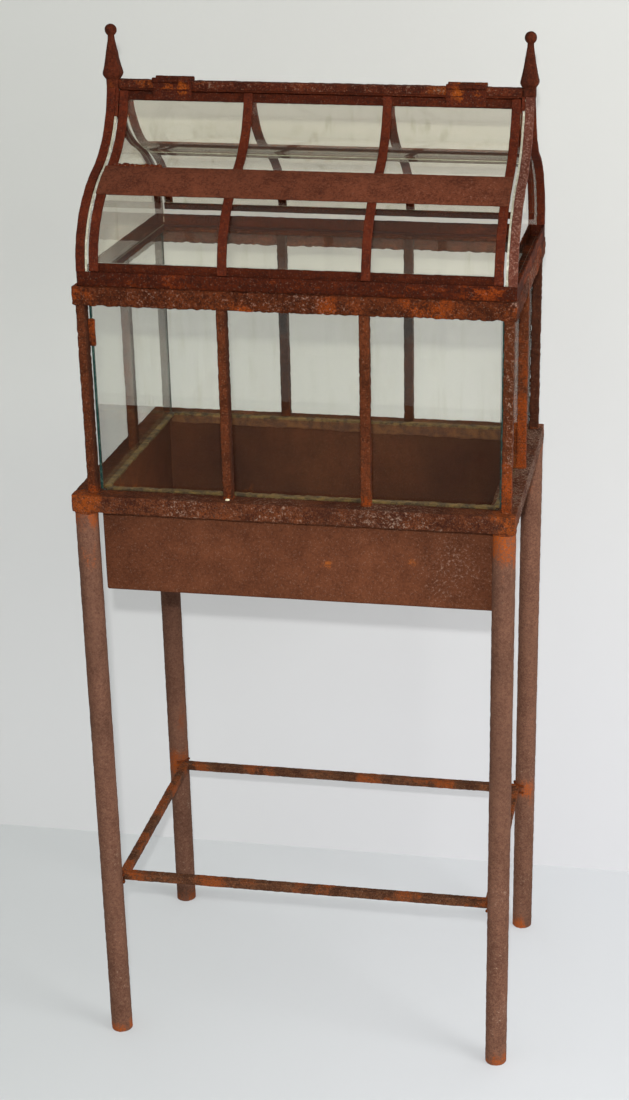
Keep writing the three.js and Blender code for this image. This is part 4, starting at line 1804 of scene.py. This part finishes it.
@dataclass
class RoofPanel:
    """One hinged panel: four bent ribs over two rails, a wide band, and two bent panes."""

    side: Side
    ogee: Ogee
    middle_x: float
    foot_gap: float
    rail_drop: float
    length: float = 546.0
    rib_width: float = 12.0
    rib_thickness: float = 5.0
    rib_gap: float = 0.2
    rail_thickness: float = 3.5
    top_rail: float = 11.5
    bottom_rail: float = 10.5
    band_width: float = 57.0
    band_thickness: float = 3.0
    band_share: float = 0.53
    glass: float = 3.0
    glass_width: float = 542.0
    glass_gap: float = 0.5

    @property
    def body(self) -> Body:
        """The body that the panel's pieces ride on."""
        return Body.FRONT_PANEL if self.side is Side.FRONT else Body.BACK_PANEL

    def build(self) -> None:
        """Builds every piece of the panel, between its two ends along the ogee."""
        top = self.ogee.length_at(self.ogee.top - 0.5)
        foot = self.ogee.length_at(self.ogee.foot + self.foot_gap)
        word = self.side.word
        seed = 300 if self.side is Side.FRONT else 400
        for end in End:
            for kind in ("side", "middle"):
                seed += 1
                node = f"{word}_{kind}_rib_{end.word}"
                depths = (0.0, self.rib_thickness)
                self.strip(node, (top, foot), self.rib_width, depths, ROOF_RUST, self.wear(seed))
        under = self.rib_thickness + self.rib_gap
        rail_top, rail_foot = top + self.top_rail, foot - self.bottom_rail
        for node, ends in (
            (f"{word}_top_rail", (top, rail_top)),
            (f"{word}_bottom_rail", (rail_foot, foot + self.rail_drop)),
        ):
            seed += 1
            depths = (under, under + self.rail_thickness)
            self.strip(node, ends, self.length, depths, RAIL_RUST, self.wear(seed))
        joint = top + self.band_share * (foot - top)
        self.band(joint, seed + 1)
        self.pane(f"{word}_upper_pane", rail_top + self.glass_gap, joint - 1.0, under)
        self.pane(f"{word}_lower_pane", joint + 1.0, rail_foot - self.glass_gap, under)

    def wear(self, seed: int, *spots: tuple[Spot, ...]) -> Wear:
        """The light wear of the panel's bars, with fresh, scale and dark spots."""
        return Wear(0.45, 9.0, seed, *spots)

    def band(self, joint: float, seed: int) -> None:
        """The wide band over the joint between the panes, patched in front as in the photo.

        Args:
            joint: Length along the ogee of the joint.
            seed: Picks its lumps and pits.
        """
        ends = joint - self.band_width / 2, joint + self.band_width / 2
        wear = self.wear(seed)
        if self.side is Side.FRONT:
            fresh = tuple((x, -108.0, 1318.0, 8.0, 0.9) for x in np.linspace(-245, -205, 5))
            scale = ((150.0, -120.0, 1290.0, 90.0, 0.3), (40.0, -120.0, 1290.0, 40.0, 0.25),
                     (250.0, -120.0, 1280.0, 60.0, 0.35))
            # The last spot is painted shade over the left end of the band.
            wear = self.wear(seed, fresh, scale, ((-260.0, -120.0, 1290.0, 150.0, 0.12),))
            self.crust(ends[0])
        depths = (-self.rib_gap - self.band_thickness, -self.rib_gap)
        node = f"{self.side.word}_middle_band"
        self.strip(node, ends, self.length, depths, BAND_RUST, wear)

    def crust(self, start: float) -> None:
        """Ragged rust that stands over the left part of the band's upper edge.

        Args:
            start: Length along the ogee of that edge.
        """
        along = np.linspace(-262.0, -198.0, 44)
        ragged = fractal_noise(np.stack([along, along * 0, along * 0], axis=-1), 9.0, 390, 3)
        path = np.stack([ragged * 4.0, along, along * 0], axis=-1)
        shell = bead(path, 2.6, 391)
        shell = self.ogee.carry(shell, self.side.value, start - 6.0, self.middle_x, -1.0)
        shell = Wear(2.4, 3.0, 392, swell=0.7).eat(shell)
        make_piece("band_crust", shell, [CRUST_RUST], self.body)

    def strip(
        self, node: str, ends: tuple[float, float], width: float, depths: tuple[float, float],
        finish: RustFinish, wear: Wear,
    ) -> None:
        """A flat bar laid on the ogee.

        Args:
            node: The CAD node that it stands for.
            ends: Lengths along the ogee of its two ends.
            width: Its width along X.
            depths: How far under the ogee's line its two faces are.
            finish: Its rust.
            wear: How it is eaten.
        """
        middle, _ = node_box(node)
        thick = depths[1] - depths[0]
        radius = min(1.0, thick / 2 - 0.3)
        shell = rounded_block((ends[1] - ends[0], width, thick), radius, 3.0)
        shell = self.ogee.carry(shell, self.side.value, ends[0], middle[0], sum(depths) / 2)
        make_iron(node, wear.eat(shell), finish, self.body, wear)

    def pane(self, node: str, start: float, stop: float, under: float) -> None:
        """A bent pane under the ribs.

        Args:
            node: The CAD node that it stands for.
            start: Length along the ogee of its upper edge.
            stop: Length along the ogee of its lower edge.
            under: How far under the ogee's line its upper face is.
        """
        middle, _ = node_box(node)
        shell = rounded_block((stop - start, self.glass_width, self.glass), 0.4, 6.0)
        edge = np.abs(shell.points[shell.quads].mean(axis=1)[:, 2]) < self.glass / 2 - 0.1
        slots = edge.astype(int)
        shell.points[:, 2] += 0.25 * (fractal_noise(shell.points, 90.0, 95, 2) - 0.5)
        depth = under + self.glass / 2
        shell = self.ogee.carry(shell, self.side.value, start, middle[0], depth)
        shell.slots = slots
        make_glass(node, shell, [ROOF_GLASS, ROOF_EDGE], self.body)


# Studio


@dataclass
class Studio:
    """Floor, wall behind, lamps and camera, as in the photograph. Its sizes are in metres."""

    wall_y: float = 0.386
    floor_front: float = -2.2
    dark_front: float = -3.4
    steady_share: float = 0.4
    camera_place: tuple = (0.5478, -2.6475, 1.7867)
    camera_turn: tuple = (67.53, 0.0, 8.53)
    lens: float = 64.67
    shift: tuple = (-0.099, 0.034)
    aim: tuple = (0.0, 0.0, 0.8)
    floor_tones: tuple = ("c8cbca", "d5d7d9")
    wall_tones: tuple = ("cecfce", "d6d6d8")
    high_wall_tones: tuple = ("bebfba", "cbcbc7")

    def build(self) -> None:
        """Makes the camera, the floor, the wall, the lamps and the world."""
        scene = bpy.context.scene
        scene.view_settings.view_transform = "Standard"
        self.camera()
        self.ground()
        self.lamp("soft_flash", (0.55, -2.75, 2.018), 0.05, 58.0)
        self.lamp("side_window", (2.6, -1.3, 1.9), 1.3, 48.0)
        self.world()

    def camera(self) -> None:
        """The camera at the photograph's place."""
        data = bpy.data.cameras.new("camera")
        data.sensor_width = 36.0
        data.lens = self.lens
        data.shift_x, data.shift_y = self.shift
        camera = bpy.data.objects.new("camera", data)
        camera.location = self.camera_place
        camera.rotation_euler = [math.radians(angle) for angle in self.camera_turn]
        bpy.context.scene.collection.objects.link(camera)
        bpy.context.scene.camera = camera

    def ground(self) -> None:
        """The floor, the wall, whose back doesn't show, and the dark room floor in front."""
        wide, back, y = 4.0, 4.0, self.wall_y
        near, far = self.floor_front, self.dark_front
        sheets = {
            "floor": [(-wide, near, 0), (wide, near, 0), (wide, back, 0), (-wide, back, 0)],
            "wall": [(-wide, y, 0), (wide, y, 0), (wide, y, 4.5), (-wide, y, 4.5)],
            "room_floor": [(-wide, far, 0), (wide, far, 0), (wide, near, 0), (-wide, near, 0)],
        }
        for name, corners in sheets.items():
            mesh = bpy.data.meshes.new(name)
            mesh.from_pydata(corners, [], [(0, 1, 2, 3)])
            mesh.materials.append(self.dark() if name == "room_floor" else self.paper(name))
            piece = bpy.data.objects.new(name, mesh)
            bpy.context.scene.collection.objects.link(piece)

    def paper(self, name: str) -> bpy.types.Material:
        """Pale paper with painted shade, darker to the left. The wall is clear from behind.

        Part of its tone glows on its own and stays steady, so that the shadows on it stay faint.

        Args:
            name: Either "floor" or "wall".

        Returns:
            The material.
        """
        material, graph, shader = new_material(f"{name}_paper")
        parts = graph.node("ShaderNodeSeparateXYZ", {0: graph.place()}).outputs
        # Painted shade: the paper darkens towards the left.
        share = graph.step(parts[0], -0.9, 0.5)
        tones = self.floor_tones if name == "floor" else self.wall_tones
        colour = graph.blend(share, *map(linear, tones))
        # Painted shade: the wall darkens towards its top.
        if name == "wall":
            high = graph.blend(share, *map(linear, self.high_wall_tones))
            colour = graph.blend(graph.step(parts[2], 0.0, 1.4), colour, high)
        graph.feed(shader, {"Base Color": colour, "Roughness": 0.9, "Specular IOR Level": 0.1})
        steady = graph.node("ShaderNodeEmission", {"Color": colour, "Strength": 1.0})
        path = graph.node("ShaderNodeLightPath").outputs
        seen = graph.math("MAXIMUM", path["Is Camera Ray"], path["Is Glossy Ray"])
        seen = graph.math("MAXIMUM", seen, path["Is Transmission Ray"])
        both = graph.mixed(graph.product(seen, self.steady_share), shader, steady)
        if name == "wall":
            behind = graph.node("ShaderNodeNewGeometry").outputs["Backfacing"]
            both = graph.mixed(behind, both, graph.node("ShaderNodeBsdfTransparent"))
        graph.show(both)
        return material

    def dark(self) -> bpy.types.Material:
        """A dark floor that shows only in reflections.

        Returns:
            The material.
        """
        material, graph, shader = new_material("room_floor_dark")
        graph.feed(shader, {"Base Color": linear("3a322c")})
        bounces = graph.node("ShaderNodeLightPath").outputs["Glossy Depth"]
        mirrored = graph.math("MINIMUM", bounces, 1.0)
        graph.show(graph.mixed(mirrored, graph.node("ShaderNodeBsdfTransparent"), shader))
        return material

    def lamp(self, name: str, place: tuple, size: float, power: float) -> None:
        """A square soft lamp that faces the middle of the case.

        Args:
            name: The lamp's name.
            place: Where it hangs.
            size: Length of its sides.
            power: Its power, in watts.
        """
        data = bpy.data.lights.new(name, "AREA")
        data.size = size
        data.energy = power
        lamp = bpy.data.objects.new(name, data)
        lamp.location = place
        away = np.array(place) - np.array(self.aim)
        lamp.rotation_euler = (
            math.atan2(math.hypot(away[0], away[1]), away[2]), 0.0, math.atan2(away[0], -away[1]),
        )
        lamp.visible_camera = False
        lamp.visible_transmission = False
        bpy.context.scene.collection.objects.link(lamp)

    def world(self) -> None:
        """An even pale room, seen by camera, glossy and transmission rays as a backdrop.

        Reflections see it dim overhead. Light that has met a dull surface doesn't pick the
        room up again through the glass, because the glass already lets shadow rays through.
        """
        world = bpy.data.worlds.new("room")
        bpy.context.scene.world = world
        world.use_nodes = True
        graph = Graph(world.node_tree)
        shade = world.node_tree.nodes["Background"]
        path = graph.node("ShaderNodeLightPath").outputs
        seen = graph.math("MAXIMUM", path["Is Camera Ray"], path["Is Transmission Ray"])
        colour = graph.blend(seen, (0.67, 0.678, 0.682, 1.0), linear("dfe0df"))
        way = graph.node("ShaderNodeTexCoord").outputs["Generated"]
        rise = graph.node("ShaderNodeSeparateXYZ", {0: way}).outputs[2]
        room = graph.blend(graph.step(rise, 0.08, 0.4), linear("b6b6b0"), linear("9a948a"))
        mirrored = graph.math("MINIMUM", path["Glossy Depth"], 1.0)
        colour = graph.blend(mirrored, colour, room)
        again = graph.math("MINIMUM", path["Diffuse Depth"], 1.0)
        again = graph.product(again, path["Is Transmission Ray"])
        strength = graph.math("SUBTRACT", 1.0, again)
        graph.feed(shade, {"Color": colour, "Strength": strength})


def main() -> None:
    """Builds the case, its roof and the studio."""
    logging.basicConfig(level=logging.INFO, format="%(message)s")
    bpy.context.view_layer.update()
    Stand().build()
    GlazedBox().build()
    middle, size = node_box("roof_base_frame")
    ridge, ridge_size = node_box("ridge_bar")
    ogee = Ogee(
        half_depth=size[1] / 2, foot=middle[2] + size[2] / 2, top=ridge[2] - ridge_size[2] / 2
    )
    Roof(ogee, middle[0]).build()
    RoofPanel(Side.FRONT, ogee, middle[0], foot_gap=1.0, rail_drop=2.5).build()
    RoofPanel(Side.BACK, ogee, middle[0], foot_gap=9.0, rail_drop=0.0).build()
    Studio().build()


if __name__ == "__main__":
    main()
